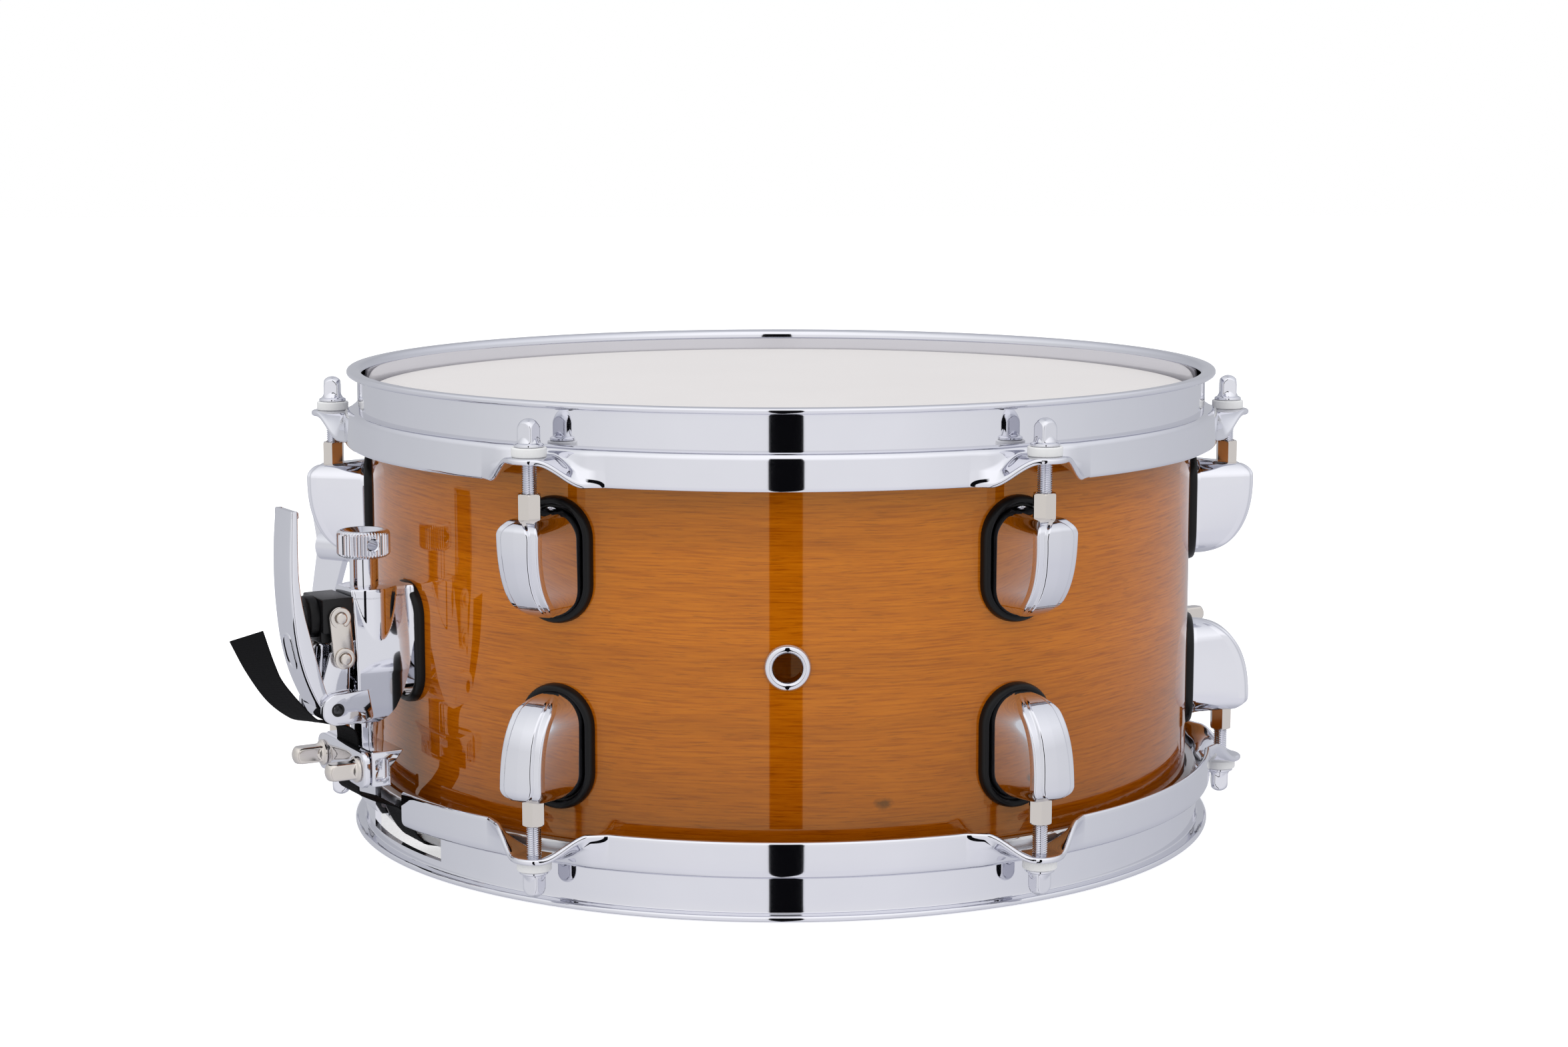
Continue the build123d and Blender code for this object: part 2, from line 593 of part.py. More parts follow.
def clamp_bracket():
    """Strap clamp: an upright that slides below the body, and a foot across it."""
    upright = block((177.4, 186.8), (-5.2, 5.2), (CLAMP_LOW + 2, 79.5))
    foot_side = profile([(176.6, CLAMP_TOP), (CLAMP_FACE_R, CLAMP_TOP), (CLAMP_FACE_R, CLAMP_LOW),
                         (181.8, CLAMP_LOW), (181.8, CLAMP_LOW + 6.5)])
    foot = slab(foot_side, -CLAMP_HALF, CLAMP_HALF)
    bracket = upright + foot
    for side in (-1, 1):
        pocket = (8.5, 24) if side > 0 else (-24, -8.5)
        bracket -= block((170, CLAMP_FACE_R - 7.2), pocket, (CLAMP_LOW - 1, CLAMP_TOP - 2.2))
        bracket -= rod_x(2.4, side * KEY_SPREAD, KEY_Z, 170, CLAMP_FACE_R + 1)
    return bracket - rod_z(STEM_R + RUNNING_GAP, KNOB_AXIS_R, 0, CLAMP_LOW - 2, 84)


def clamp_plate(key_z, low, high):
    """Outer jaw of a strap clamp."""
    middle = (low + high) / 2
    plate = pad(CLAMP_HALF + 0.8, high - low, middle, 4.2, CLAMP_FACE_R + STRAP_T, CLAMP_FACE_R + STRAP_T + PLATE_T)
    for side in (-1, 1):
        plate -= rod_x(2.5, side * KEY_SPREAD, key_z, 180, 200)
    return plate


def ribbon(route):
    """Flat strap whose middle line in the X-Z plane is the given route."""
    section = trace(FilletPolyline(*route, radius=2.0), STRAP_T)
    return slab(Plane.XZ * section, -STRAP_HALF, STRAP_HALF)


def strap_tail_route():
    """Free end of the strap: up out of the clamp, under the pivot and away from the shell."""
    face = CLAMP_FACE_R + STRAP_T / 2
    return [(face, 36.0), (face, 51.0), (193.5, 55.0), (201.5, 56.1), (209.5, 59.6), (218.0, 68.8),
            (224.0, 80.0), (229.0, 92.5)]


def strap_gate_route():
    """Shared run of both straps: through the hoop's notch and gate, then under a wire end plate."""
    return [(168.4, 14.4), (166.3, 10.8), (163.4, 7.3), (157.0, STRAP_LOW_Z), (147.0, STRAP_LOW_Z)]


def strap_low_route():
    """Working end of the strap, from the clamp to the snare wires."""
    face = CLAMP_FACE_R + STRAP_T / 2
    return [(face, 36.0), (face, 32.5), *strap_gate_route()]


def butt_strap_route():
    """Strap of the fixed side, from the butt clamp to the snare wires."""
    face = CLAMP_FACE_R + STRAP_T / 2
    return [(face, BUTT_KEY_Z + 5), (face, 46.0), (176.0, 21.5), *strap_gate_route()]


# Snare wires

def snare_wires():
    """Strands side by side under the snare head, drawn as plain rods."""
    first = -(WIRE_COUNT - 1) / 2 * WIRE_PITCH
    return [rod_x(WIRE_R, first + i * WIRE_PITCH, WIRE_Z, -WIRE_HALF_LENGTH, WIRE_HALF_LENGTH)
            for i in range(WIRE_COUNT)]


def end_plate():
    """Plate soldered across the wires' ends, with a slot for the strap."""
    half = WIRE_COUNT * WIRE_PITCH / 2 + 0.6
    end = WIRE_HALF_LENGTH + END_PLATE_LENGTH
    plate = block((WIRE_HALF_LENGTH, end), (-half, half), (WIRE_Z - 0.9, WIRE_Z + 0.7))
    return plate - block((end - 4.5, end - 3.1), (-STRAP_HALF - 0.6, STRAP_HALF + 0.6), (0, 20))


# Butt plate

def butt_body():
    """Fixed clamp opposite the strainer."""
    body = pad(11.2, 40.0, BUTT_KEY_Z, 9, 160, 171)
    body += block((168, CLAMP_FACE_R), (-8.0, 8.0), (BUTT_KEY_Z - 8, BUTT_KEY_Z + 6.8))
    body += block((182, CLAMP_FACE_R), (-CLAMP_HALF, CLAMP_HALF), (BUTT_KEY_Z - 6.4, BUTT_KEY_Z + 6.8))
    for side in (-1, 1):
        body -= rod_x(2.4, side * KEY_SPREAD, BUTT_KEY_Z, 175, 200)
    for z in BUTT_SCREWS:
        body -= rod_x(SCREW_R, 0, z, 160, 172.6)
    return body - rod_z(SHELL_R + GASKET_T, 0, 0, 20, 110)


# Mounting bracket

def bracket_body():
    """Block with an upright bore for a stand's rod and a threaded hole for the wing bolt."""
    body = pad(14.0, 46.0, BRACKET_Z, 12, 160, 171)
    body += rod_z(11.5, BRACKET_BORE_AT, 0, BRACKET_Z - 15, BRACKET_Z + 15)
    body += block((168, BRACKET_BORE_AT), (-11.5, 11.5), (BRACKET_Z - 15, BRACKET_Z + 15))
    body += rod_x(7.0, 0, BRACKET_Z, 190, 209)
    body -= rod_z(BRACKET_BORE_R, BRACKET_BORE_AT, 0, BRACKET_Z - 20, BRACKET_Z + 20)
    body -= rod_x(4.0 + RUNNING_GAP, 0, BRACKET_Z, 188, 212)
    for z in BRACKET_SCREWS:
        body -= rod_x(SCREW_R, 0, z, 160, 172.6)
    return body - rod_z(SHELL_R + GASKET_T, 0, 0, 50, 130)


def wing_bolt():
    """Bolt with two tapered wings."""
    bolt = rod_x(4.0, 0, BRACKET_Z, 196.0, 226)
    bolt += rod_x(6.6, 0, BRACKET_Z, 219, 234)
    wing = profile([
        (222, BRACKET_Z - 5), (228.5, BRACKET_Z - 24), (240.5, BRACKET_Z - 25), (236, BRACKET_Z),
        (240.5, BRACKET_Z + 25), (228.5, BRACKET_Z + 24), (222, BRACKET_Z + 5),
    ])
    wing = soften(wing, 4.0, [(240.5, BRACKET_Z - 25), (228.5, BRACKET_Z - 24), (240.5, BRACKET_Z + 25),
                              (228.5, BRACKET_Z + 24)])
    return bolt + slab(wing, -2.2, 2.2)


def build():
    save("shell", [shell()])
    save("vent_grommet", [vent_grommet()])
    save("vent_lock_ring", [vent_lock_ring()])
    film, ring = head_film(), flesh_hoop()
    save("batter_head_film", [film])
    save("snare_head_film", [UNDER * film])
    save("batter_flesh_hoop", [ring])
    save("snare_flesh_hoop", [UNDER * ring])
    upper_hoop = batter_hoop()
    save("batter_hoop", [upper_hoop])
    save("snare_hoop", [snare_hoop(upper_hoop)])

    rod = tension_rod()
    for number, angle in enumerate(LUG_ANGLES, 1):
        save(f"batter_tension_rod_{number}", [at(angle, rod)])
        save(f"snare_tension_rod_{number}", [at(angle, UNDER * rod)])
    pieces = {"washers": nylon_washer(), "swivel_nuts": swivel_nut(), "lugs": lug()}
    for name, piece in pieces.items():
        save(f"batter_{name}", [at(angle, piece) for angle in LUG_ANGLES])
        save(f"snare_{name}", [at(angle, UNDER * piece) for angle in LUG_ANGLES])
    gasket, collar = lug_gasket(pieces["lugs"]), nut_retainer()
    save("lug_gaskets", [at(a, piece) for a in LUG_ANGLES for piece in (gasket, UNDER * gasket)])
    save("nut_retainers", [at(a, piece) for a in LUG_ANGLES for piece in (collar, UNDER * collar)])

    screws, washers = [], []
    for z in lug_screw_heights():
        screw, washer = shell_screw(z)
        for angle in LUG_ANGLES:
            screws += [at(angle, screw), at(angle, UNDER * screw)]
            washers += [at(angle, washer), at(angle, UNDER * washer)]
    for angle, z in plate_screws():
        screw, washer = shell_screw(z, 8.0)
        screws.append(at(angle, screw))
        washers.append(at(angle, washer))
    save("shell_screws", screws)
    save("shell_screw_washers", washers)

    body = strainer_body()
    seat = foot_gasket(13.6, 46.5, 84.6, body, STRAINER_SCREWS)
    save("strainer_gasket", [at(STRAINER_ANGLE, seat)])
    save("strainer_body", [at(STRAINER_ANGLE, body)])
    save("strainer_pivot_pin", [at(STRAINER_ANGLE, pivot_pin())])
    save("throw_lever", [at(STRAINER_ANGLE, throw_lever())])
    save("slider_block", [at(STRAINER_ANGLE, slider_block())])
    save("slider_sleeve", [at(STRAINER_ANGLE, slider_sleeve())])
    save("lever_bumper", [at(STRAINER_ANGLE, lever_bumper())])
    save("link_plates", [at(STRAINER_ANGLE, plate) for plate in link_plates()])
    save("link_top_pin", [at(STRAINER_ANGLE, link_top_pin())])
    save("link_low_pins", [at(STRAINER_ANGLE, pin) for pin in link_low_pins()])
    save("link_top_clips", [at(STRAINER_ANGLE, clip) for clip in clips(LINK_TOP)])
    save("link_low_clips", [at(STRAINER_ANGLE, clip) for clip in clips(LINK_LOW)])
    save("tension_knob", [at(STRAINER_ANGLE, tension_knob())])
    save("clamp_bracket", [at(STRAINER_ANGLE, clamp_bracket())])
    save("clamp_plate", [at(STRAINER_ANGLE, clamp_plate(KEY_Z, CLAMP_LOW - 0.4, CLAMP_TOP + 0.2))])
    face = CLAMP_FACE_R + STRAP_T + PLATE_T
    save("clamp_key_screws", [at(STRAINER_ANGLE, key_screw(side * KEY_SPREAD, KEY_Z, face)) for side in (-1, 1)])
    save("strap_tail", [at(STRAINER_ANGLE, ribbon(strap_tail_route()))])
    save("strap_lower", [at(STRAINER_ANGLE, ribbon(strap_low_route()))])

    save("snare_wires", [at(STRAINER_ANGLE, wire) for wire in snare_wires()])
    save("wire_end_plate_strainer", [at(STRAINER_ANGLE, end_plate())])
    save("wire_end_plate_butt", [at(BUTT_ANGLE, end_plate())])

    body = butt_body()
    seat = foot_gasket(13.6, 44.5, BUTT_KEY_Z, body, BUTT_SCREWS)
    save("butt_gasket", [at(BUTT_ANGLE, seat)])
    save("butt_body", [at(BUTT_ANGLE, body)])
    save("butt_clamp_plate", [at(BUTT_ANGLE, clamp_plate(BUTT_KEY_Z, BUTT_KEY_Z - 6.8, BUTT_KEY_Z + 7.0))])
    save("butt_key_screws",
         [at(BUTT_ANGLE, key_screw(side * KEY_SPREAD, BUTT_KEY_Z, face)) for side in (-1, 1)])
    save("butt_strap", [at(BUTT_ANGLE, ribbon(butt_strap_route()))])

    body = bracket_body()
    seat = foot_gasket(16.6, 52.5, BRACKET_Z, body, BRACKET_SCREWS)
    save("bracket_gasket", [at(BRACKET_ANGLE, seat)])
    save("bracket_body", [at(BRACKET_ANGLE, body)])
    save("bracket_wing_bolt", [at(BRACKET_ANGLE, wing_bolt())])


build()
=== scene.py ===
import json
import math

import bmesh
import bpy
import numpy as np
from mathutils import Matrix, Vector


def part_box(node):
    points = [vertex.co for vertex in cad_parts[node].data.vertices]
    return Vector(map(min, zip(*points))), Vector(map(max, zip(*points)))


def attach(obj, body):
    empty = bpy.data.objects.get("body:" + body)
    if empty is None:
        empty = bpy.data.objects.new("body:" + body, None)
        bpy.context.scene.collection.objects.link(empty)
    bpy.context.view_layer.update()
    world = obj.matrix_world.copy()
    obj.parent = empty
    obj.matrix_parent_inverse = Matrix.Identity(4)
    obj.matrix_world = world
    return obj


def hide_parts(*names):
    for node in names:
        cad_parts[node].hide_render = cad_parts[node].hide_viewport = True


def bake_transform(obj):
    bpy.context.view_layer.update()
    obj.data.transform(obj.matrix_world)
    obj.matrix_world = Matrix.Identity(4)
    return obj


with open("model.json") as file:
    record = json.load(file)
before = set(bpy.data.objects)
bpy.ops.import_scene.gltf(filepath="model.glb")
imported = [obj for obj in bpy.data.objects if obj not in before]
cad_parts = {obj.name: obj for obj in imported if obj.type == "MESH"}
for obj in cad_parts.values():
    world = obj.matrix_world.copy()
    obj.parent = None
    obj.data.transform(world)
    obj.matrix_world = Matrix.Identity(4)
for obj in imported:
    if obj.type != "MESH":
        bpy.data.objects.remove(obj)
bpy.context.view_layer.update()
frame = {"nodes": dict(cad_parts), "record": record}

# Shapes below are drawn in millimetres in a hardware frame: X out of the shell, Y along it, Z up.
# place() turns them to their angle round the drum, where 0 is the front and +90 the +X side.
MM = 0.001
LUG_ANGLES = (-150, -90, -30, 30, 90, 150)
STRAINER_ANGLE = -60
BUTT_ANGLE = 120
BRACKET_ANGLE = -120


def radius_of(node):
    """Outer radius about the drum's axis of a round CAD node, in millimetres."""
    low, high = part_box(node)
    return max(-low.x, high.x, -low.y, high.y) / MM


# Driving sizes, from the frame where a node gives them
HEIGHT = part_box("batter_hoop")[1].z / MM
SHELL_R = radius_of("shell")
SHELL_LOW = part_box("shell")[0].z / MM
SHELL_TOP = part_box("shell")[1].z / MM
SHELL_WALL = 6.2
ROD_CIRCLE_R = 180.85
EAR_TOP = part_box("batter_washers")[0].z / MM
HEAD_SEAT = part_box("batter_washers")[1].z / MM
HEAD_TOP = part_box("batter_tension_rod_1")[1].z / MM
NUT_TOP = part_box("batter_swivel_nuts")[1].z / MM
SHEET_T = 2.3
HOOP_WALL_R = 168.25
GATE = (168.0, 176.6)
GATE_HALF, NOTCH_HALF = 31.0, 12.0
VENT_R = 5.3
VENT_Z = (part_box("vent_grommet")[0].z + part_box("vent_grommet")[1].z) / 2 / MM


# Geometry helpers: a part is (vertices, faces)

def place(points, angle, under=False):
    """Hardware-frame millimetres to metres in the drum's frame, turned over for the snare side if under."""
    p = np.asarray(points, float)
    if under:
        p = p * (1, -1, -1) + (0, 0, HEIGHT)
    a = math.radians(angle)
    out = np.array((math.sin(a), -math.cos(a), 0))
    along = np.array((math.cos(a), math.sin(a), 0))
    up = np.array((0, 0, 1))
    return (p[..., 0:1] * out + p[..., 1:2] * along + p[..., 2:3] * up) * MM


def loft(rings, closed=False):
    """Skin closed loops of equal length, capped at both ends unless the loft runs round on itself."""
    rings = np.asarray(rings, float)
    n, m = rings.shape[:2]
    rows = n if closed else n - 1
    faces = [(i * m + j, i * m + (j + 1) % m, (i + 1) % n * m + (j + 1) % m, (i + 1) % n * m + j)
             for i in range(rows) for j in range(m)]
    if not closed:
        faces += [tuple(range(m)), tuple((n - 1) * m + j for j in range(m))]
    return rings.reshape(-1, 3), faces


def turned(outline, x=0.0, steps=48, closed=False):
    """Revolve an outline of (radius, height) points round the vertical axis at x."""
    angles = np.linspace(0, 2 * math.pi, steps, endpoint=False)
    r, z = np.asarray(outline, float).T
    rings = np.stack([
        x + r[:, None] * np.cos(angles), r[:, None] * np.sin(angles), np.repeat(z[:, None], steps, 1),
    ], -1)
    return loft(rings, closed)


def level_ring(x, radii, angles, z):
    """One level loop of points about the vertical axis at x."""
    return np.stack([x + radii * np.cos(angles), radii * np.sin(angles), np.full(len(angles), z)], -1)


def square_head(angles, half, height, dome_height, dome_radius, power, flare, steps):
    """Heights up a square domed key head, each with the radius in every direction there.

    flare gives the round neck: its radius at the flange, how much it narrows, and over what height.
    """
    flats = half / np.maximum(np.abs(np.cos(angles)), np.abs(np.sin(angles)))
    straight = height - dome_height
    dome = straight + dome_height * np.sin(np.linspace(0, 1.5, steps)[1:])
    for h in np.concatenate([np.linspace(1.6, straight, 14), dome]):
        neck = flare[0] - flare[1] * min((h - 1.5) / flare[2], 1) ** 0.8
        cap = dome_radius * math.sqrt(max(1 - max((h - straight) / dome_height, 0) ** power, 0))
        yield h, np.minimum(np.maximum(flats, neck), max(cap, 0.05))


def laid_along_x(part, y, z):
    """Turn a part drawn about the vertical axis so that its axis runs out of the shell at y, z."""
    v = part[0]
    return np.stack([v[:, 2], v[:, 1] + y, z - v[:, 0]], -1), part[1]


def laid_along_y(part, x, z):
    """Turn a part drawn about the vertical axis so that its axis runs along the shell at x, z."""
    v = part[0]
    return np.stack([v[:, 0] + x, v[:, 2], v[:, 1] + z], -1), part[1]


def rounded(points, radius, steps=5, closed=True):
    """Polyline with its corners rounded; radius is one number or one for each point."""
    pts = np.asarray(points, float)
    n = len(pts)
    radii = np.broadcast_to(np.asarray(radius, float), n)
    out = []
    for i in range(n):
        if not closed and i in (0, n - 1):
            out.append(pts[i])
            continue
        before, here, after = pts[i - 1], pts[i], pts[(i + 1) % n]
        a, b = before - here, after - here
        la, lb = np.linalg.norm(a), np.linalg.norm(b)
        a, b = a / la, b / lb
        half = math.acos(max(-1, min(1, float(a @ b)))) / 2
        reach = min(max(radii[i] / max(math.tan(half), 1e-6), 0.02), 0.48 * la, 0.48 * lb)
        start, end = here + a * reach, here + b * reach
        for t in np.linspace(0, 1, steps):
            out.append((1 - t) ** 2 * start + 2 * t * (1 - t) * here + t * t * end)
    return np.array(out)


def pill(half_w, half_h, corner, steps=10):
    """Rounded rectangle as a loop of (across, up) points, the same count whatever its size."""
    corner = max(min(corner, half_w, half_h), 1e-3)
    points = []
    for k, (sx, sy) in enumerate(((1, 1), (-1, 1), (-1, -1), (1, -1))):
        for a in np.linspace(k * math.pi / 2, (k + 1) * math.pi / 2, steps):
            points.append((sx * (half_w - corner) + corner * math.cos(a),
                           sy * (half_h - corner) + corner * math.sin(a)))
    return np.array(points)


def bent(loop, height, radius=None):
    """Wrap a flat (along, up) loop round the shell, standing height proud of it."""
    radius = SHELL_R if radius is None else radius
    angle = loop[:, 0] / radius
    r = radius + np.broadcast_to(height, len(loop))
    return np.stack([r * np.cos(angle), r * np.sin(angle), loop[:, 1]], -1)


def spline(points, count):
    """Catmull-Rom curve through the points."""
    p = np.asarray(points, float)
    p = np.vstack([2 * p[0] - p[1], p, 2 * p[-1] - p[-2]])
    out = []
    for u in np.linspace(0, len(p) - 3, count):
        i = min(int(u), len(p) - 4)
        t = u - i
        a, b, c, d = p[i:i + 4]
        out.append(0.5 * (2 * b + (c - a) * t + (2 * a - 5 * b + 4 * c - d) * t * t
                          + (3 * b - a - 3 * c + d) * t ** 3))
    return np.array(out)


def slab(outline, low, high, bevel=0.4):
    """Extrude an (x, z) outline along Y with its long edges rounded over."""
    outline = np.asarray(outline, float)
    following = np.roll(outline, -1, 0) - np.roll(outline, 1, 0)
    following /= np.maximum(np.linalg.norm(following, axis=1)[:, None], 1e-9)
    inward = np.stack([-following[:, 1], following[:, 0]], -1)
    area = np.sum(outline[:, 0] * np.roll(outline[:, 1], -1) - np.roll(outline[:, 0], -1) * outline[:, 1])
    inward *= 1 if area > 0 else -1
    rings = []
    for y, side in ((low, 1), (high, -1)):
        for t in np.linspace(0, 1, 4) if side > 0 else np.linspace(1, 0, 4):
            a = t * math.pi / 2
            shrunk = outline + inward * bevel * (1 - math.sin(a))
            rings.append(np.stack([shrunk[:, 0], np.full(len(outline), y + side * bevel * (1 - math.cos(a))),
                                   shrunk[:, 1]], -1))
    return loft(rings)


def block(x, y, z, edge=0.6):
    """Box with rounded edges from three (low, high) pairs."""
    half_x, half_z = (x[1] - x[0]) / 2, (z[1] - z[0]) / 2
    outline = pill(half_x, half_z, edge, 4) + ((x[0] + x[1]) / 2, (z[0] + z[1]) / 2)
    return slab(outline, y[0], y[1], edge * 0.7)


def piece(name, parts, slot, body, nodes=(), sharp=40, finish=None):
    """Make one object from placed parts, tied to the frame, in its slot's finish unless another is given."""
    vertices, faces, count = [], [], 0
    for v, f in parts:
        vertices.append(v)
        faces += [tuple(i + count for i in face) for face in f]
        count += len(v)
    mesh = bpy.data.meshes.new(name)
    mesh.from_pydata(np.concatenate(vertices).tolist(), [], faces)
    work = bmesh.new()
    work.from_mesh(mesh)
    bmesh.ops.recalc_face_normals(work, faces=work.faces)
    work.to_mesh(mesh)
    work.free()
    mesh.shade_smooth()
    mesh.set_sharp_from_angle(angle=math.radians(sharp))
    obj = bpy.data.objects.new(name, mesh)
    bpy.context.scene.collection.objects.link(obj)
    mesh.materials.append(finish or FINISHES[slot])
    if body:
        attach(obj, body)
    if nodes:
        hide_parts(*nodes)
    return obj


def at(part, angle, under=False):
    """A hardware-frame part put in its place round the drum."""
    return place(part[0], angle, under), part[1]


def on_strainer(*parts):
    return [at(part, STRAINER_ANGLE) for part in parts]


def carve(obj, parts, sharp=40):
    """Cut parts away from a piece."""
    cutter = piece("cutter", parts, "chrome", None, finish=obj.data.materials[0])
    cut = obj.modifiers.new("cut", "BOOLEAN")
    cut.operation = "DIFFERENCE"
    cut.solver = "EXACT"
    cut.object = cutter
    carved = bpy.data.meshes.new_from_object(obj.evaluated_get(bpy.context.evaluated_depsgraph_get()))
    obj.modifiers.clear()
    obj.data = carved
    obj.data.shade_smooth()
    obj.data.set_sharp_from_angle(angle=math.radians(sharp))
    bpy.data.objects.remove(cutter)


# Materials

class Nodes:
    """Short calls for a node tree; a value may be a number, a color or another node's output."""

    def __init__(self, name):
        self.material = bpy.data.materials.new(name)
        self.material.use_nodes = True
        self.tree = self.material.node_tree
        self.shader = self.tree.nodes["Principled BSDF"]

    def add(self, kind):
        return self.tree.nodes.new(kind)

    def link(self, source, target):
        self.tree.links.new(source, target)

    def feed(self, socket, value):
        if hasattr(value, "default_value"):
            self.link(value, socket)
        elif isinstance(value, tuple) and socket.type == "RGBA":
            socket.default_value = (*value, 1)
        else:
            socket.default_value = value

    def make(self, kind, output, **values):
        """A node with some inputs set, as its named output."""
        node = self.add(kind)
        for key, value in values.items():
            self.feed(node.inputs[key.replace("_", " ")], value)
        return node.outputs[output]

    def math(self, operation, a, b=None, clamp=False):
        node = self.add("ShaderNodeMath")
        node.operation = operation
        node.use_clamp = clamp
        self.feed(node.inputs[0], a)
        if b is not None:
            self.feed(node.inputs[1], b)
        return node.outputs[0]

    def place_of_point(self):
        """The point in metres in the drum's frame, which every piece shares."""
        return self.add("ShaderNodeTexCoord").outputs["Object"]

    def axes(self, vector):
        return self.make("ShaderNodeSeparateXYZ", 0, Vector=vector).node.outputs

    def noise(self, vector, scale, detail=4.0, rough=0.55, stretch=None):
        if stretch is not None:
            vector = self.make("ShaderNodeMapping", "Vector", Scale=stretch, Vector=vector)
        return self.make("ShaderNodeTexNoise", "Fac", Scale=scale, Detail=detail, Roughness=rough,
                         Vector=vector)

    def ramp(self, factor, *stops):
        node = self.add("ShaderNodeValToRGB")
        elements = node.color_ramp.elements
        while len(elements) < len(stops):
            elements.new(0.5)
        for element, (position, color) in zip(elements, stops):
            element.position = position
            element.color = (*color, 1)
        self.link(factor, node.inputs["Fac"])
        return node.outputs["Color"]

    def span(self, factor, low, high):
        """Carry 0..1 to low..high."""
        return self.make("ShaderNodeMapRange", "Result", To_Min=low, To_Max=high, Value=factor)

    def mix(self, factor, a, b, blend="MIX"):
        node = self.add("ShaderNodeMix")
        node.data_type = "RGBA"
        node.blend_type = blend
        for socket, value in ((node.inputs["Factor"], factor), (node.inputs[6], a), (node.inputs[7], b)):
            self.feed(socket, value)
        return node.outputs[2]

    def bump(self, height, strength, distance):
        normal = self.make("ShaderNodeBump", "Normal", Strength=strength, Distance=distance, Height=height)
        self.link(normal, self.shader.inputs["Normal"])

    def set(self, **values):
        for key, value in values.items():
            self.feed(self.shader.inputs[key.replace("_", " ")], value)


def metal(name, color, rough, spread=0.03, grain=0.0):
    """Metal whose gloss varies faintly with wiping marks, and with a fine grain where it isn't polished."""
    n = Nodes(name)
    point = n.place_of_point()
    smear = n.noise(point, 38.0, 3.0, 0.5, (1, 1, 0.35))
    dust = n.noise(point, 900.0, 2.0, 0.6)
    mixed = n.math("ADD", n.math("MULTIPLY", smear, 0.8), n.math("MULTIPLY", dust, 0.2))
    tint = n.mix(n.noise(point, 60.0, 2.0), color, tuple(c * 0.965 for c in color))
    n.set(Base_Color=tint, Metallic=1.0, Roughness=n.span(mixed, max(rough - spread, 0.015), rough + spread))
    if grain:
        n.bump(dust, grain, 0.00004)
    return n.material


def lacquered_maple():
    """Amber-stained veneer whose grain runs round the shell, under thick gloss lacquer, with painted shade
    darkening it towards its bottom and top.
    """
    n = Nodes("lacquered_maple")
    x, y, z = n.axes(n.place_of_point())
    around = n.math("MULTIPLY", n.math("ARCTAN2", x, n.math("MULTIPLY", y, -1.0)), SHELL_R * MM)
    depth = n.math("MULTIPLY", n.math("ABSOLUTE", y), 0.15)
    flat = n.make("ShaderNodeCombineXYZ", 0, X=around, Y=z, Z=depth)
    drift = n.noise(flat, 9.0, 2.0, 0.5, (1.0, 2.2, 1))
    wavy = n.math("ADD", z, n.math("MULTIPLY", drift, 0.006))
    line = n.make("ShaderNodeCombineXYZ", 0, X=around, Y=wavy)
    broad = n.noise(line, 60.0, 3.0, 0.6, (0.07, 1.0, 1))
    fine = n.noise(line, 1200.0, 4.0, 0.62, (0.035, 1.0, 1))
    pores = n.noise(line, 1900.0, 2.0, 0.5, (0.060, 1.0, 1))
    grain = n.ramp(fine, (0.34, (0.395, 0.084, 0.0008)), (0.47, (0.505, 0.124, 0.0014)),
                   (0.62, (0.575, 0.154, 0.0024)))
    belts = n.ramp(broad, (0.34, (0.86, 0.83, 0.80)), (0.50, (0.98, 0.975, 0.97)),
                   (0.68, (1.05, 1.07, 1.10)))
    wood = n.mix(1.0, grain, belts, "MULTIPLY")
    pore = n.ramp(pores, (0.57, (0, 0, 0)), (0.66, (1, 1, 1)))
    wood = n.mix(n.math("MULTIPLY", pore, 0.34), wood, (0.17, 0.030, 0.001))
    # Painted shade: the colour is darkened towards the bottom and, less, towards the top, standing in for
    # the shade low on the shell and under the hoops.
    height = n.math("MULTIPLY", z, 1 / (HEIGHT * MM))
    edges = n.ramp(height, (0.17, (0.66, 0.60, 0.56)), (0.30, (0.80, 0.76, 0.74)), (0.50, (1, 1, 1)),
                   (0.76, (1, 1, 1)), (0.86, (0.84, 0.82, 0.80)))
    wood = n.mix(1.0, wood, edges, "MULTIPLY")
    # one small knot low on the front right
    knot_at = (math.radians(11.9) * SHELL_R * MM, 0.0399)
    du = n.math("MULTIPLY", n.math("SUBTRACT", around, knot_at[0]), 0.62)
    dv = n.math("SUBTRACT", z, knot_at[1])
    away = n.math("SQRT", n.math("ADD", n.math("MULTIPLY", du, du), n.math("MULTIPLY", dv, dv)))
    unevenness = n.math("SUBTRACT", n.noise(flat, 380.0), 0.5)
    ragged = n.math("ADD", away, n.math("MULTIPLY", unevenness, 0.0035))
    knot = n.ramp(n.math("MULTIPLY", ragged, 250.0), (0.16, (1, 1, 1)), (0.62, (0, 0, 0)))
    wood = n.mix(n.math("MULTIPLY", knot, 0.85), wood, (0.085, 0.018, 0.004))
    n.set(Base_Color=wood, Roughness=0.03, IOR=1.74, Specular_Tint=(1.0, 0.80, 0.42))
    n.bump(fine, 0.02, 0.00005)
    return n.material


def coated_film():
    """Sprayed white coating, with its fine tooth."""
    n = Nodes("coated_film")
    point = n.place_of_point()
    cloud = n.noise(point, 14.0, 3.0, 0.5)
    tooth = n.noise(point, 2600.0, 3.0, 0.7)
    color = n.mix(cloud, (0.735, 0.705, 0.685), (0.700, 0.670, 0.652))
    color = n.mix(n.math("MULTIPLY", tooth, 0.12), color, (0.60, 0.58, 0.56))
    n.set(Base_Color=color, Roughness=n.span(tooth, 0.50, 0.72), IOR=1.45)
    n.bump(tooth, 0.35, 0.00012)
    return n.material


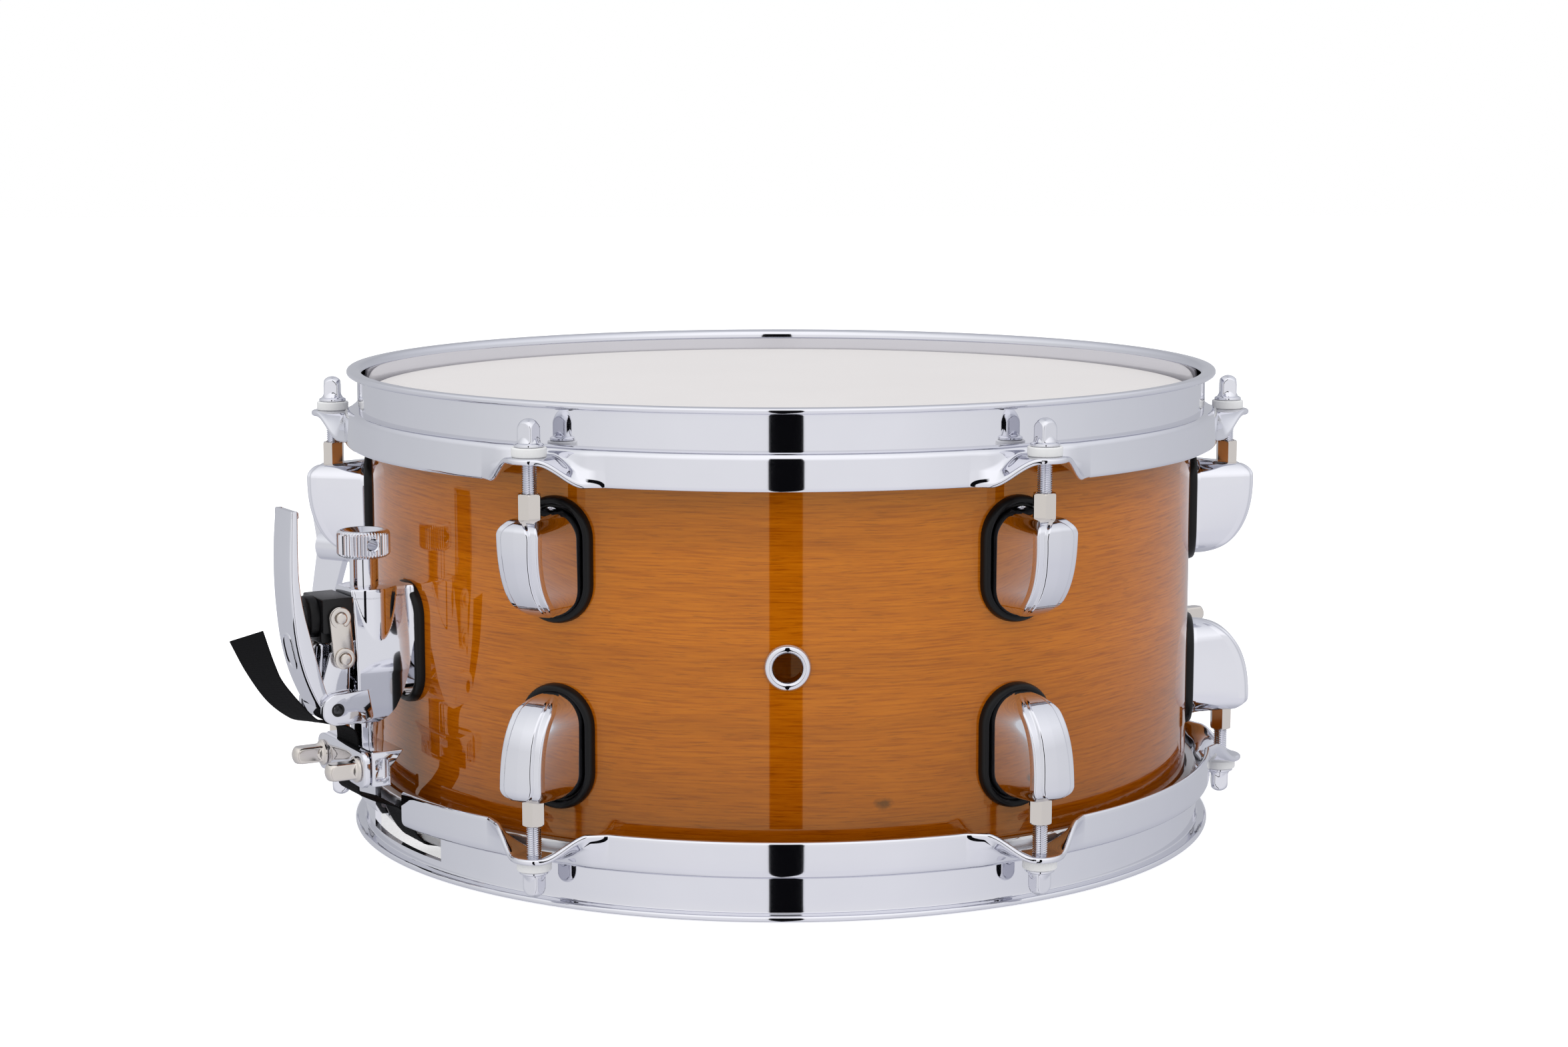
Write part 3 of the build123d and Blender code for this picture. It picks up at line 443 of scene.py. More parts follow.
def clear_film():
    """Thin clear film with a slight haze."""
    n = Nodes("clear_film")
    haze = n.noise(n.place_of_point(), 24.0, 3.0)
    n.set(Base_Color=n.mix(haze, (0.86, 0.88, 0.88), (0.78, 0.80, 0.80)))
    n.set(Roughness=n.span(haze, 0.10, 0.22), Alpha=0.42, IOR=1.5)
    n.material.surface_render_method = "DITHERED"
    return n.material


def moulded(name, dark, light, rough, gloss=0.5):
    """Moulded rubber or plastic with a fine surface tooth."""
    n = Nodes(name)
    point = n.place_of_point()
    cloud = n.noise(point, 120.0, 3.0)
    fine = n.noise(point, 1400.0, 2.0, 0.6)
    n.set(Base_Color=n.mix(cloud, dark, light), Roughness=n.span(fine, rough - 0.08, rough + 0.08))
    n.set(Specular_IOR_Level=gloss)
    n.bump(fine, 0.25, 0.00006)
    return n.material


def ribbon_weave():
    """Grosgrain: fine ribs across the strap."""
    n = Nodes("black_ribbon")
    x, y, z = n.axes(n.place_of_point())
    radial = n.math("SQRT", n.math("ADD", n.math("MULTIPLY", x, x), n.math("MULTIPLY", y, y)))
    run = n.math("ADD", n.math("MULTIPLY", radial, 0.75), z)
    ribs = n.math("SINE", n.math("MULTIPLY", run, 2 * math.pi / 0.0011))
    thread = n.noise(n.place_of_point(), 1900.0, 2.0)
    height = n.math("ADD", n.math("MULTIPLY", ribs, 0.5), thread)
    n.set(Base_Color=n.mix(thread, (0.002, 0.002, 0.0025), (0.008, 0.008, 0.009)), Roughness=0.85)
    n.set(Specular_IOR_Level=0.12)
    n.bump(height, 0.6, 0.00018)
    return n.material


FINISHES = {
    "chrome": metal("chrome", (0.735, 0.738, 0.785), 0.035, 0.015),
    "zinc_steel": metal("zinc_steel", (0.70, 0.655, 0.61), 0.15, 0.05, 0.1),
    "wire_steel": metal("wire_steel", (0.66, 0.65, 0.635), 0.16, 0.04),
    "aluminium_hoop": metal("aluminium_hoop", (0.66, 0.66, 0.67), 0.30, 0.06, 0.2),
    "lacquered_maple": lacquered_maple(),
    "coated_film": coated_film(),
    "clear_film": clear_film(),
    "white_nylon": moulded("white_nylon", (0.80, 0.80, 0.785), (0.86, 0.86, 0.85), 0.38),
    "black_rubber": moulded("black_rubber", (0.003, 0.003, 0.0035), (0.006, 0.006, 0.0065), 0.36, 0.22),
    "black_plastic": moulded("black_plastic", (0.005, 0.005, 0.006), (0.010, 0.010, 0.011), 0.36, 0.3),
    "black_ribbon": ribbon_weave(),
}


def finish_cad_nodes():
    """Every CAD node gets its slot's finish; those that stay visible are shown with it."""
    for entry in frame["record"]["subparts"]:
        obj = frame["nodes"][entry["node"]]
        obj.data.materials.clear()
        obj.data.materials.append(FINISHES[entry["material_slot"]])
        weld = obj.modifiers.new("weld", "WELD")
        weld.merge_threshold = 0.00001
        edge = obj.modifiers.new("edge", "BEVEL")
        edge.width, edge.segments, edge.limit_method, edge.angle_limit = 0.0003, 2, "ANGLE", math.radians(38)
        obj.data.shade_smooth()
        smooth = obj.modifiers.new("smooth", "WEIGHTED_NORMAL")
        smooth.keep_sharp = False


# Shell and heads

def make_shell():
    """Turned shell with its roundover and bearing edges; the snare beds dip under the snare straps."""
    inner = SHELL_R - SHELL_WALL
    outline = rounded([
        (SHELL_R, SHELL_LOW + 2.2), (SHELL_R - 1.6, SHELL_LOW), (SHELL_R - 2.4, SHELL_LOW),
        (inner, SHELL_LOW + SHELL_WALL - 2.4), (inner, SHELL_TOP - SHELL_WALL + 2.4),
        (SHELL_R - 2.4, SHELL_TOP), (SHELL_R - 1.6, SHELL_TOP), (SHELL_R, SHELL_TOP - 2.2),
    ], 0.6, 4)
    heights = np.linspace(SHELL_LOW + 4, SHELL_TOP - 4, 12)
    outline = np.vstack([outline, [(SHELL_R, z) for z in heights[::-1]]])
    part = turned(outline, steps=360, closed=True)
    v = part[0]
    across = SHELL_R * v[:, 1] / np.hypot(v[:, 0], v[:, 1])
    bed = 1.6 * np.clip(1 - (across / 47.0) ** 2, 0, 1)
    v[:, 2] += bed * np.clip((SHELL_LOW + 9 - v[:, 2]) / 9, 0, 1)
    shell = piece("shell_wood", on_strainer(part), "lacquered_maple", "root", ["shell"])
    bore_r = VENT_R + 0.6
    bore = laid_along_x(turned([(0.01, 150), (bore_r, 150), (bore_r, 170), (0.01, 170)]), 0, VENT_Z)
    carve(shell, [at(bore, 0)], 60)


def make_vent():
    """Rolled chrome eyelet through the shell."""
    face = SHELL_R - 0.05
    outline = rounded([
        (VENT_R, 156.4), (VENT_R, face + 0.9), (VENT_R + 1.0, face + 1.75), (VENT_R + 2.4, face + 1.3),
        (8.5, face + 0.05), (VENT_R + 0.55, face - 0.05), (VENT_R + 0.55, 156.4),
    ], [0.3, 0.9, 1.0, 1.0, 0.25, 0.3, 0.3], 6)
    eyelet = laid_along_x(turned(outline, closed=True), 0, VENT_Z)
    piece("vent_eyelet", [at(eyelet, 0)], "chrome", "root", ["vent_grommet"], sharp=50)


def make_head(name, slot, node, under):
    """Film that is flat inside, with its collar turned down over the edge."""
    top = SHELL_TOP + 0.35
    outer = spline([(SHELL_R - 1.6, top), (SHELL_R - 0.3, top - 0.35), (SHELL_R + 0.8, top - 2.0),
                    (SHELL_R + 1.45, top - 5.5), (SHELL_R + 1.5, 162.6)], 24)
    rings = [(r, top) for r in (8, 20, 40, 60, 80, 100, 120, 140, 152, 158)]
    outline = np.vstack([rings, outer])
    inner = outline[::-1] + (-0.3, -0.3)
    part = turned(np.vstack([outline, inner]), steps=240)
    piece(name, [at(part, 0, under)], slot, "root", [node], sharp=60)


# Hoops

def ear_reach(w):
    """How far an ear's edge stands out past the skirt at w along it: a round tip on a broad base."""
    tip, tip_w, base_w = 14.9, 4.2, 27.0
    w = abs(w)
    if w < tip_w:
        return tip - 8.4 + math.sqrt(8.4 ** 2 - w * w)
    corner = tip - 8.4 + math.sqrt(8.4 ** 2 - tip_w ** 2)
    t = min((w - tip_w) / (base_w - tip_w), 1)
    return corner * (1 - t) ** 1.15


def ear_rise(w):
    """How much of the way up to the ear's top the edge has come at w: flat on top, S-shaped at each side."""
    t = min(max((20.5 - abs(w)) / (20.5 - 5.2), 0), 1)
    return t * t * (3 - 2 * t)


def hoop_section(w):
    """Middle line of the pressed sheet, from the rim's edge to the skirt's or an ear's."""
    half = SHEET_T / 2
    wall, skirt, ledge = HOOP_WALL_R, 173.35, 167.0 - half
    share = ear_rise(w)
    low = 153.1 + half
    end_z = low + share * (EAR_TOP - half - low)
    end_r = skirt + ear_reach(w)
    upper = rounded([(173.5 - half, HEIGHT - half), (wall, HEIGHT - half), (wall, GATE[1])], [0, 2.3, 0], 7,
                    closed=False)
    upper = np.vstack([upper, [(wall, GATE[0]), (wall, ledge + 1.5)]])
    knee = (skirt - 2.0 * share, ledge)
    drop_z = ledge + (end_z - ledge) * (0.55 + 0.45 * share)
    drop = (skirt + 0.25 * ear_reach(w) * (1 - share), drop_z)
    lower = rounded([(wall, ledge + 1.4), (wall, ledge), knee, drop, (end_r, end_z)],
                    [0, 1.3, 2.6, 6.0, 0], 9, closed=False)
    tail = [lower[-2] + (lower[-1] - lower[-2]) * t for t in np.linspace(0, 1, 9)[1:]]
    return np.vstack([upper[:-1], lower[:-1], tail])


def hoop_angles():
    """Columns of the hoop's mesh: close together across an ear, and one on each side of every opening."""
    reach = 30.0
    near = np.degrees(np.arcsin(np.linspace(-reach, reach, 121) / ROD_CIRCLE_R))
    sides = (-GATE_HALF, -NOTCH_HALF, NOTCH_HALF, GATE_HALF)
    edges = [30 + math.degrees(math.asin(w / HOOP_WALL_R)) for w in sides]
    far = np.concatenate([np.arange(near[-1] + 1.2, 60 + near[0] - 0.4, 1.2), edges])
    return np.concatenate([lug + np.concatenate([near, np.sort(far)]) for lug in LUG_ANGLES])


def hoop_middle(angles):
    """The pressing's middle surface, one column of points for each angle."""
    lug = np.array(LUG_ANGLES)
    columns = []
    for a in angles:
        nearest = lug[np.argmin(np.abs((a - lug + 180) % 360 - 180))]
        r, z = hoop_section(ROD_CIRCLE_R * math.sin(math.radians(a - nearest))).T
        turn = math.radians(a)
        columns.append(np.stack([r * math.sin(turn), -r * math.cos(turn), z], -1))
    return np.array(columns)


def open_cells(angles, heights, gates):
    """Which cells of the sheet are cut away: each strap's gate and the notch below it, to the edge."""
    count, rows = len(angles), len(heights)
    top, low = [int(np.argmin(np.abs(heights[:24] - z))) for z in GATE[::-1]]
    cells = np.zeros((count, rows - 1), bool)
    for i, a in enumerate(angles):
        centre = (a + angles[(i + 1) % count]) / 2 if i < count - 1 else 180
        for gate in gates:
            w = HOOP_WALL_R * math.sin(math.radians(centre - gate))
            if abs((centre - gate + 180) % 360 - 180) < 30 and abs(w) < GATE_HALF:
                cells[i, top:low if abs(w) > NOTCH_HALF else rows - 1] = True
    return cells


def hoop_part(gates):
    """The whole pressing as one sheet with rounded lips; gates lists the angles of its strap openings."""
    angles = hoop_angles()
    middle = hoop_middle(angles)
    count, rows = middle.shape[:2]
    around = np.roll(middle, -1, 0) - np.roll(middle, 1, 0)
    down = np.gradient(middle, axis=1)
    normal = np.cross(around, down)
    normal *= SHEET_T / 2 / np.linalg.norm(normal, axis=2)[..., None]
    lips = []
    for j, sign in ((0, -1), (rows - 1, 1)):
        out = down[:, j] * sign * SHEET_T / 2 / np.linalg.norm(down[:, j], axis=1)[:, None]
        lips.append(np.array([middle[:, j] + math.cos(t) * normal[:, j] + math.sin(t) * out
                              for t in np.linspace(0, math.pi, 8)[1:-1]]).transpose(1, 0, 2))
    vertices = np.concatenate([p.reshape(-1, 3) for p in (middle + normal, middle - normal, *lips)])
    cut = open_cells(angles, middle[0, :, 2], gates)
    sheet = count * rows

    def outer(i, j):
        return i % count * rows + j

    def lip(i, k, end):
        return 2 * sheet + end * count * 6 + i % count * 6 + k

    def wall(one, two):
        return (one, two, two + sheet, one + sheet)

    faces = []
    for i in range(count):
        for j in range(rows - 1):
            cell = [outer(i, j), outer(i + 1, j), outer(i + 1, j + 1), outer(i, j + 1)]
            if not cut[i, j]:
                faces += [tuple(cell), tuple(v + sheet for v in cell[::-1])]
                continue
            if not cut[i, j - 1]:
                faces.append(wall(cell[0], cell[1]))
            if j < rows - 2 and not cut[i, j + 1]:
                faces.append(wall(cell[3], cell[2]))
            if not cut[i - 1, j]:
                faces.append(wall(cell[0], cell[3]))
            if not cut[(i + 1) % count, j]:
                faces.append(wall(cell[1], cell[2]))
        for end, j in ((0, 0), (1, rows - 1)):
            strips = [[outer(e, j), *(lip(e, k, end) for k in range(6)), outer(e, j) + sheet]
                      for e in (i, i + 1)]
            if end and cut[i, rows - 2]:
                beside = (i - 1, (i + 1) % count)
                faces += [tuple(strip) for strip, other in zip(strips, beside) if not cut[other, rows - 2]]
                continue
            faces += [(strips[0][k], strips[1][k], strips[1][k + 1], strips[0][k + 1]) for k in range(7)]
    return vertices, faces


def make_hoops():
    vertices, faces = hoop_part([])
    piece("hoop_batter", [(vertices * MM, faces)], "chrome", "root", ["batter_hoop"], sharp=50)
    # turned over about X, an angle a round the drum becomes 180 - a
    vertices, faces = hoop_part([180 - STRAINER_ANGLE - 360, 180 - BUTT_ANGLE])
    lower = (vertices * (1, -1, -1) + (0, 0, HEIGHT)) * MM
    piece("hoop_snare", [(lower, faces)], "chrome", "root", ["snare_hoop"], sharp=50)


# Tension rods, washers and nuts

def rod_part():
    """Shank with a real helical thread, flange, taper and square domed head."""
    angles = np.linspace(0, 2 * math.pi, 64, endpoint=False)
    pitch, depth, crest = 0.79, 0.55, 2.78
    rings = []
    for z in np.arange(146.0, EAR_TOP - SHEET_T + 0.4, pitch / 7):
        turn = (z / pitch - angles / (2 * math.pi)) % 1
        rings.append((crest - depth * np.abs(2 * turn - 1) ** 1.2, z))
    flange = rounded([(crest, EAR_TOP - HEAD_SEAT), (crest, 0.02), (5.0, 0.02), (5.35, 0.4), (5.3, 1.05),
                      (4.5, 1.5)], 0.3, 4, closed=False)
    rings += [(np.full(64, r), HEAD_SEAT + h) for r, h in flange]
    head = square_head(angles, 3.16, HEAD_TOP - HEAD_SEAT, 4.4, 4.15, 2.2, (4.35, 1.75, 3.6), 16)
    rings += [(r, HEAD_SEAT + h) for h, r in head]
    return loft([level_ring(ROD_CIRCLE_R, r, angles, z) for r, z in rings])


def washer_part():
    """Nylon ring between an ear and a rod's head."""
    outline = rounded([(3.05, EAR_TOP), (6.25, EAR_TOP), (6.3, HEAD_SEAT), (3.05, HEAD_SEAT)], 0.55, 5)
    return turned(outline, ROD_CIRCLE_R, 56, closed=True)


def nut_part():
    """Hexagon with chamfered top above the lug, on its round body."""
    steps = 72
    angles = np.linspace(0, 2 * math.pi, steps, endpoint=False)
    flats = 3.9 * 0.985 / np.cos((angles + math.pi / 6) % (math.pi / 3) - math.pi / 6)
    profile = [(3.5, 139.0), (4.4, 139.4), (4.6, 140.4), (4.62, NUT_TOP - 0.95), (4.42, NUT_TOP - 0.55),
               (4.15, NUT_TOP - 0.15), (3.95, NUT_TOP - 0.02), (3.75, NUT_TOP), (2.95, NUT_TOP),
               (2.86, NUT_TOP - 0.3), (2.86, NUT_TOP - 1.6)]
    return loft([level_ring(ROD_CIRCLE_R, np.minimum(flats, r), angles, z) for r, z in profile])


def make_rods():
    rod, washer, nut = rod_part(), washer_part(), nut_part()
    for side, under in (("batter", False), ("snare", True)):
        for number, angle in enumerate(LUG_ANGLES, 1):
            name = f"{side}_rod_{number}"
            piece(f"{name}_threaded", [at(rod, angle, under)], "chrome", name,
                  [f"{side}_tension_rod_{number}"], sharp=50)
        piece(f"{side}_washer_set", [at(washer, a, under) for a in LUG_ANGLES], "white_nylon", "root",
              [f"{side}_washers"])
        piece(f"{side}_nut_set", [at(nut, a, under) for a in LUG_ANGLES], "zinc_steel", "root",
              [f"{side}_swivel_nuts"], sharp=25)


# Lugs and gaskets

LUG_LOW, LUG_SHOULDER, LUG_CROWN, LUG_FOOT_TOP = 104.9, 136.8, 141.9, 144.4


def lug_front(z):
    """Radius of the raised face at height z."""
    if z < LUG_SHOULDER:
        t = (z - LUG_LOW) / (LUG_SHOULDER - LUG_LOW)
        return 168.0 + 23.2 * (1 - (1 - t) ** 2.5) ** (1 / 2.2)
    if z < LUG_CROWN:
        t = (z - LUG_SHOULDER) / (LUG_CROWN - LUG_SHOULDER)
        return 183.5 + 7.7 * (1 - t ** 2.4) ** 0.5
    t = (z - LUG_CROWN) / (LUG_FOOT_TOP - LUG_CROWN)
    return 183.5 + (167.6 - 183.5) * min(t / 0.7, 1)


def lug_ring(z):
    """One level section: raised face, recessed side strips and flanks that flare to the foot."""
    ends = max(0.0, z - (LUG_FOOT_TOP - 11), (LUG_LOW + 11) - z)
    foot = 1.0 + math.sqrt(max(11.0 ** 2 - ends ** 2, 0.02))
    front = lug_front(z)
    arch = math.sqrt(max(1 - max(0.0, (z - 136.6) / 5.0) ** 2, 0.0))
    taper = (LUG_SHOULDER - z) / (LUG_SHOULDER - LUG_LOW)
    face = max(min(5.95 - 1.35 * max(taper, 0), foot * 0.50) * arch, 0.02)
    shoulder = math.sqrt(max(1 - max(0.0, (z - 138.0) / 8.5) ** 2, 0.0))
    side = max(min(8.7 - 0.9 * max(taper, 0), foot * 0.76) * shoulder, face + 0.1)
    step = 1.5 * min(1.0, arch * 1.6) * min(1.0, (front - 168.0) / 8 + 0.12)
    back, shelf = 164.9, max(min(front - step - 1.2, 168.8), 165.6)
    half = [
        (front, 0.0), (front - 0.12, face - 0.5), (front - 0.45, face), (front - step, face + 0.45),
        (front - step - 0.15, side), (max(front - step - 3.0, shelf + 0.3), side + 0.25),
        (shelf, foot - 0.25), (back, foot),
    ]
    outline = half + [(r, -w) for r, w in half[:0:-1]]
    radii = [0.5, 0.45, 0.6, 0.45, 0.9, 1.5, 0.5, 0.1] + [0.1, 0.5, 1.5, 0.9, 0.45, 0.6, 0.45]
    loop = rounded(outline, radii, 5)
    return np.stack([loop[:, 0], loop[:, 1], np.full(len(loop), z)], -1)


def lug_part():
    heights = np.concatenate([
        LUG_LOW + 3.0 * np.linspace(0, 1, 12) ** 2, np.linspace(LUG_LOW + 4, LUG_SHOULDER - 0.5, 26),
        np.linspace(LUG_SHOULDER, LUG_CROWN - 0.1, 20), np.linspace(LUG_CROWN, LUG_FOOT_TOP, 10),
    ])
    return loft([lug_ring(z) for z in heights])


def gasket_part(half_w, half_h, corner, centre, bead=3.4, seat=1.5, width=3.1):
    """Rubber seat wrapped on the shell, with a round bead that stands up round the foot."""
    rings = []
    for t in np.linspace(0, math.pi, 13):
        inset = width / 2 * (1 - math.cos(t))
        base = 0.05 if t < math.pi / 2 else seat
        height = base + (bead + 0.05 - base) * math.sin(t) ** 0.8
        loop = pill(half_w - inset, half_h - inset, corner - inset, 12) + (0, centre)
        rings.append(bent(loop, height))
    return loft(rings)


def make_lugs():
    lug = lug_part()
    gasket = gasket_part(15.2, 23.0, 15.0, 125.2)
    for side, under in (("batter", False), ("snare", True)):
        piece(f"{side}_lug_castings", [at(lug, a, under) for a in LUG_ANGLES], "chrome", "root",
              [f"{side}_lugs"], sharp=55)
    both = [at(gasket, a, under) for a in LUG_ANGLES for under in (False, True)]
    piece("lug_seats", both, "black_rubber", "root", ["lug_gaskets"], sharp=60)
    plates = (
        ("strainer_seat", STRAINER_ANGLE, 13.6, 23.25, 84.6, "strainer_gasket"),
        ("butt_seat", BUTT_ANGLE, 13.6, 22.25, 64.0, "butt_gasket"),
        ("bracket_seat", BRACKET_ANGLE, 16.6, 26.25, 90.6, "bracket_gasket"),
    )
    for name, angle, half_w, half_h, centre, node in plates:
        seat = gasket_part(half_w, half_h, half_w - 1, centre)
        piece(name, [at(seat, angle)], "black_rubber", "root", [node], sharp=60)


# Strainer

KNOB_AXIS_R = 182.0
KNOB_LOW, KNOB_TOP = 118.3, 128.5
BODY_TOP = 107.4
PIVOT = (198.5, 63.5)
LINK_TOP, LINK_LOW = (196.7, 98.0), (195.3, 82.6)
LEVER_HALF = 9.0
CLAMP_FACE_R = 189.6
KEY_SPREAD, KEY_Z, BUTT_Z = 16.5, 41.4, 64.0


def body_half(x, z):
    """Half width of the strainer's casting: a round boss above and flat cheeks below an arched crease."""
    axis, boss = KNOB_AXIS_R - 1.0, 11.4
    plane = boss - 0.19 * (z - 87.7) if z > 87.7 else min(boss + 0.08 * (87.7 - z), 12.35)
    chord = np.sqrt(np.maximum(boss ** 2 - (x - axis) ** 2, 0))
    plane = np.where(x > 189.6, plane - 0.9 * (x - 189.6) ** 2, plane)
    flare = 0.9 * np.exp(-((x - 165.8) / 1.6) ** 2)
    return np.minimum(np.maximum(chord, plane) + flare, 12.38)


def body_back(z):
    """Where the casting's underside starts, out from the shell, at height z."""
    heights = [57.5, 59, 62, 68, 75, 84, 92, BODY_TOP]
    return float(np.interp(z, heights, [182.5, 178.6, 175.4, 172.2, 170, 168, 166, 165.8]))


def mirrored_loop(side, z):
    """Level loop at z from the (x, y) points of one half and their mirror image."""
    loop = np.vstack([side, side[::-1] * (1, -1)])
    return np.stack([loop[:, 0], loop[:, 1], np.full(len(loop), z)], -1)


def body_part():
    """Casting with its open channel, up to the top where it closes over."""
    walls, cap = [], []
    for z in np.concatenate([np.linspace(57.5, 70, 14), np.linspace(71, 104.2, 50)]):
        front = 190.3 if z > 69.6 else 197.0
        x = np.linspace(body_back(z), front, 60)
        h = body_half(x, z)
        inner = [(front, 8.3), (front - 0.6, 8.2), (max(173.6, body_back(z) + 1.0), 8.2)]
        walls.append(mirrored_loop(np.vstack([np.stack([x, h], -1), inner]), z))
    for z, inset in ((103.6, 0), (105.5, 0), (106.7, 0), (107.15, 0.2), (BODY_TOP, 0.7)):
        x = np.linspace(165.8, 190.3, 60)
        h = body_half(x, z) - inset
        cap.append(mirrored_loop(np.stack([165.8 + (x - 165.8) * (1 - inset / 24.5), h], -1), z))
    return [loft(walls), loft(cap)]


def make_strainer_body():
    parts = body_part()
    ear = rounded([(186, 70.2), (195.0, 69.6), (200.4, 69.3), (204.4, 66.4), (204.4, 60.2), (200.0, 57.6),
                   (188, 57.5), (184, 59)], [1, 2, 4.5, 4.5, 4.5, 4.5, 2, 2], 9)
    bore = turned([(1.72, -12.4), (1.72, 12.4), (2.52, 12.42), (2.52, -12.42)], steps=40, closed=True)
    for low, high in ((9.35, 12.4), (-12.4, -9.35)):
        parts.append(slab(ear, low, high, 0.5))
    foot = [bent(pill(9.6, 20.6, 8.5, 12) + (0, 84.6), h) for h in (1.5, 2.6)]
    parts.append(loft(foot))
    body = piece("strainer_casting", on_strainer(*parts), "chrome", "root", ["strainer_body"], sharp=32)
    hole = laid_along_y(turned([(0.01, -15), (2.5, -15), (2.5, 15), (0.01, 15)]), *PIVOT)
    carve(body, on_strainer(hole), 32)
    rivet = laid_along_y(bore, *PIVOT)
    piece("pivot_rivet", on_strainer(rivet), "zinc_steel", "root", ["strainer_pivot_pin"],
          finish=FINISHES["black_plastic"])


def make_knob():
    """Knurled knob with a dished top and a cross hole, on its stem."""
    count, steps = 48, 48 * 8
    angles = np.linspace(0, 2 * math.pi, steps, endpoint=False)
    tooth = np.abs(2 * ((angles * count / (2 * math.pi)) % 1) - 1)
    profile = rounded([(2.5, KNOB_LOW), (8.4, KNOB_LOW), (9.75, KNOB_LOW + 0.9), (10.0, KNOB_LOW + 1.6),
                       (10.0, KNOB_TOP - 1.6), (9.7, KNOB_TOP - 0.7), (8.7, KNOB_TOP), (7.4, KNOB_TOP),
                       (4.6, KNOB_TOP - 1.9), (0.6, KNOB_TOP - 2.3)], 0.5, 5, closed=False)
    rings = []
    for r, z in profile:
        cut = 0.5 * np.clip((r - 9.3) / 0.7, 0, 1)
        rings.append(level_ring(KNOB_AXIS_R, r - cut * np.clip(1.25 - 1.9 * tooth, 0, 1), angles, z))
    stem = turned([(2.45, 40.2), (2.45, KNOB_LOW + 0.5)], KNOB_AXIS_R)
    knob = piece("knob_knurled", on_strainer(loft(rings), stem), "chrome", None, sharp=35)
    hole = laid_along_y(turned([(0.01, -12), (2.5, -12), (2.5, -9.4), (2.05, -8.9), (2.05, 8.9), (2.5, 9.4),
                                (2.5, 12), (0.01, 12)]), KNOB_AXIS_R, 123.6)
    carve(knob, on_strainer(hole), 35)
    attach(knob, "knob")
    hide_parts("tension_knob")
    top = KNOB_LOW - 0.02
    tube = rounded([(5.35, 94), (5.35, top), (2.6, top), (2.6, 94)], 0.25, 4)
    sleeve = turned(tube, KNOB_AXIS_R, 64, closed=True)
    piece("slide_tube", on_strainer(sleeve), "chrome", "slider", ["slider_sleeve"])


def make_lever():
    """Channel lever bent along its back, with its crank cheeks, pivot barrel and pressed oval."""
    back = spline([(213.4, 138.2), (214.4, 124), (214.6, 112), (214.0, 100), (212.6, 88), (210.1, 77.5),
                   (206.6, 68.5), (203.2, 62.4), (199.6, 57.7)], 60)
    front = spline([(210.9, 138.2), (211.3, 124), (211.0, 112), (209.7, 102), (207.4, 92), (204.4, 80.5),
                    (201.6, 70.6), (200.2, 68.2), (198.5, 66.5)], 60)
    rings, wall = [], 1.5
    for i, (o, f) in enumerate(zip(back, front)):
        depth = float(np.linalg.norm(f - o))
        across = (f - o) / depth
        half = LEVER_HALF - 0.5 * max(0, 1 - i / 8) ** 2
        floor = min(wall, depth * 0.5)
        c_shape = rounded([(0, -half), (0, half), (depth, half), (depth, half - wall), (floor, half - wall),
                           (floor, wall - half), (depth, wall - half), (depth, -half)],
                          [1.6, 1.6, 0.5, 0.5, 0.6, 0.6, 0.5, 0.5], 6)
        inward, sideways = c_shape.T
        rings.append(np.stack([o[0] + across[0] * inward, sideways, o[1] + across[1] * inward], -1))
    cap_outline = rounded([(213.4, 138.1), (210.6, 138.1), (210.3, 135.6), (213.6, 135.6)], 0.4, 4)
    cheek = rounded([(199.2, 86.0), (191.6, 84.4), (192.9, 61.0), (198.5, 57.9), (204.0, 62.0), (203.4, 72)],
                    [3.5, 3.3, 5.0, 5.6, 5.5, 3.0], 9)
    outer, inner = LEVER_HALF - 0.05, LEVER_HALF - 1.5
    crank = [slab(cheek, low, high, 0.3) for low, high in ((inner, outer), (-outer, -inner))]
    barrel = laid_along_y(turned(rounded([(2.6, -8.95), (5.55, -8.95), (5.55, 8.95), (2.6, 8.95)], 0.4, 4),
                                 closed=True), *PIVOT)
    parts = [loft(rings), slab(cap_outline, -LEVER_HALF + 0.6, LEVER_HALF - 0.6, 0.4), barrel, *crank]
    ring = []
    for t in np.linspace(0, 2 * math.pi, 12, endpoint=False):
        loop = pill(4.4 + 0.7 * math.cos(t), 6.6 + 0.7 * math.cos(t), 4.3, 10)
        z = 85.0 + loop[:, 1]
        x = np.interp(z, back[::-1, 1], back[::-1, 0]) - 0.15 + 0.55 * math.sin(t)
        ring.append(np.stack([x, loop[:, 0] - 0.6, z], -1))
    parts.append(loft(ring, closed=True))
    piece("lever_channel", on_strainer(*parts), "chrome", "lever", ["throw_lever"], sharp=38)


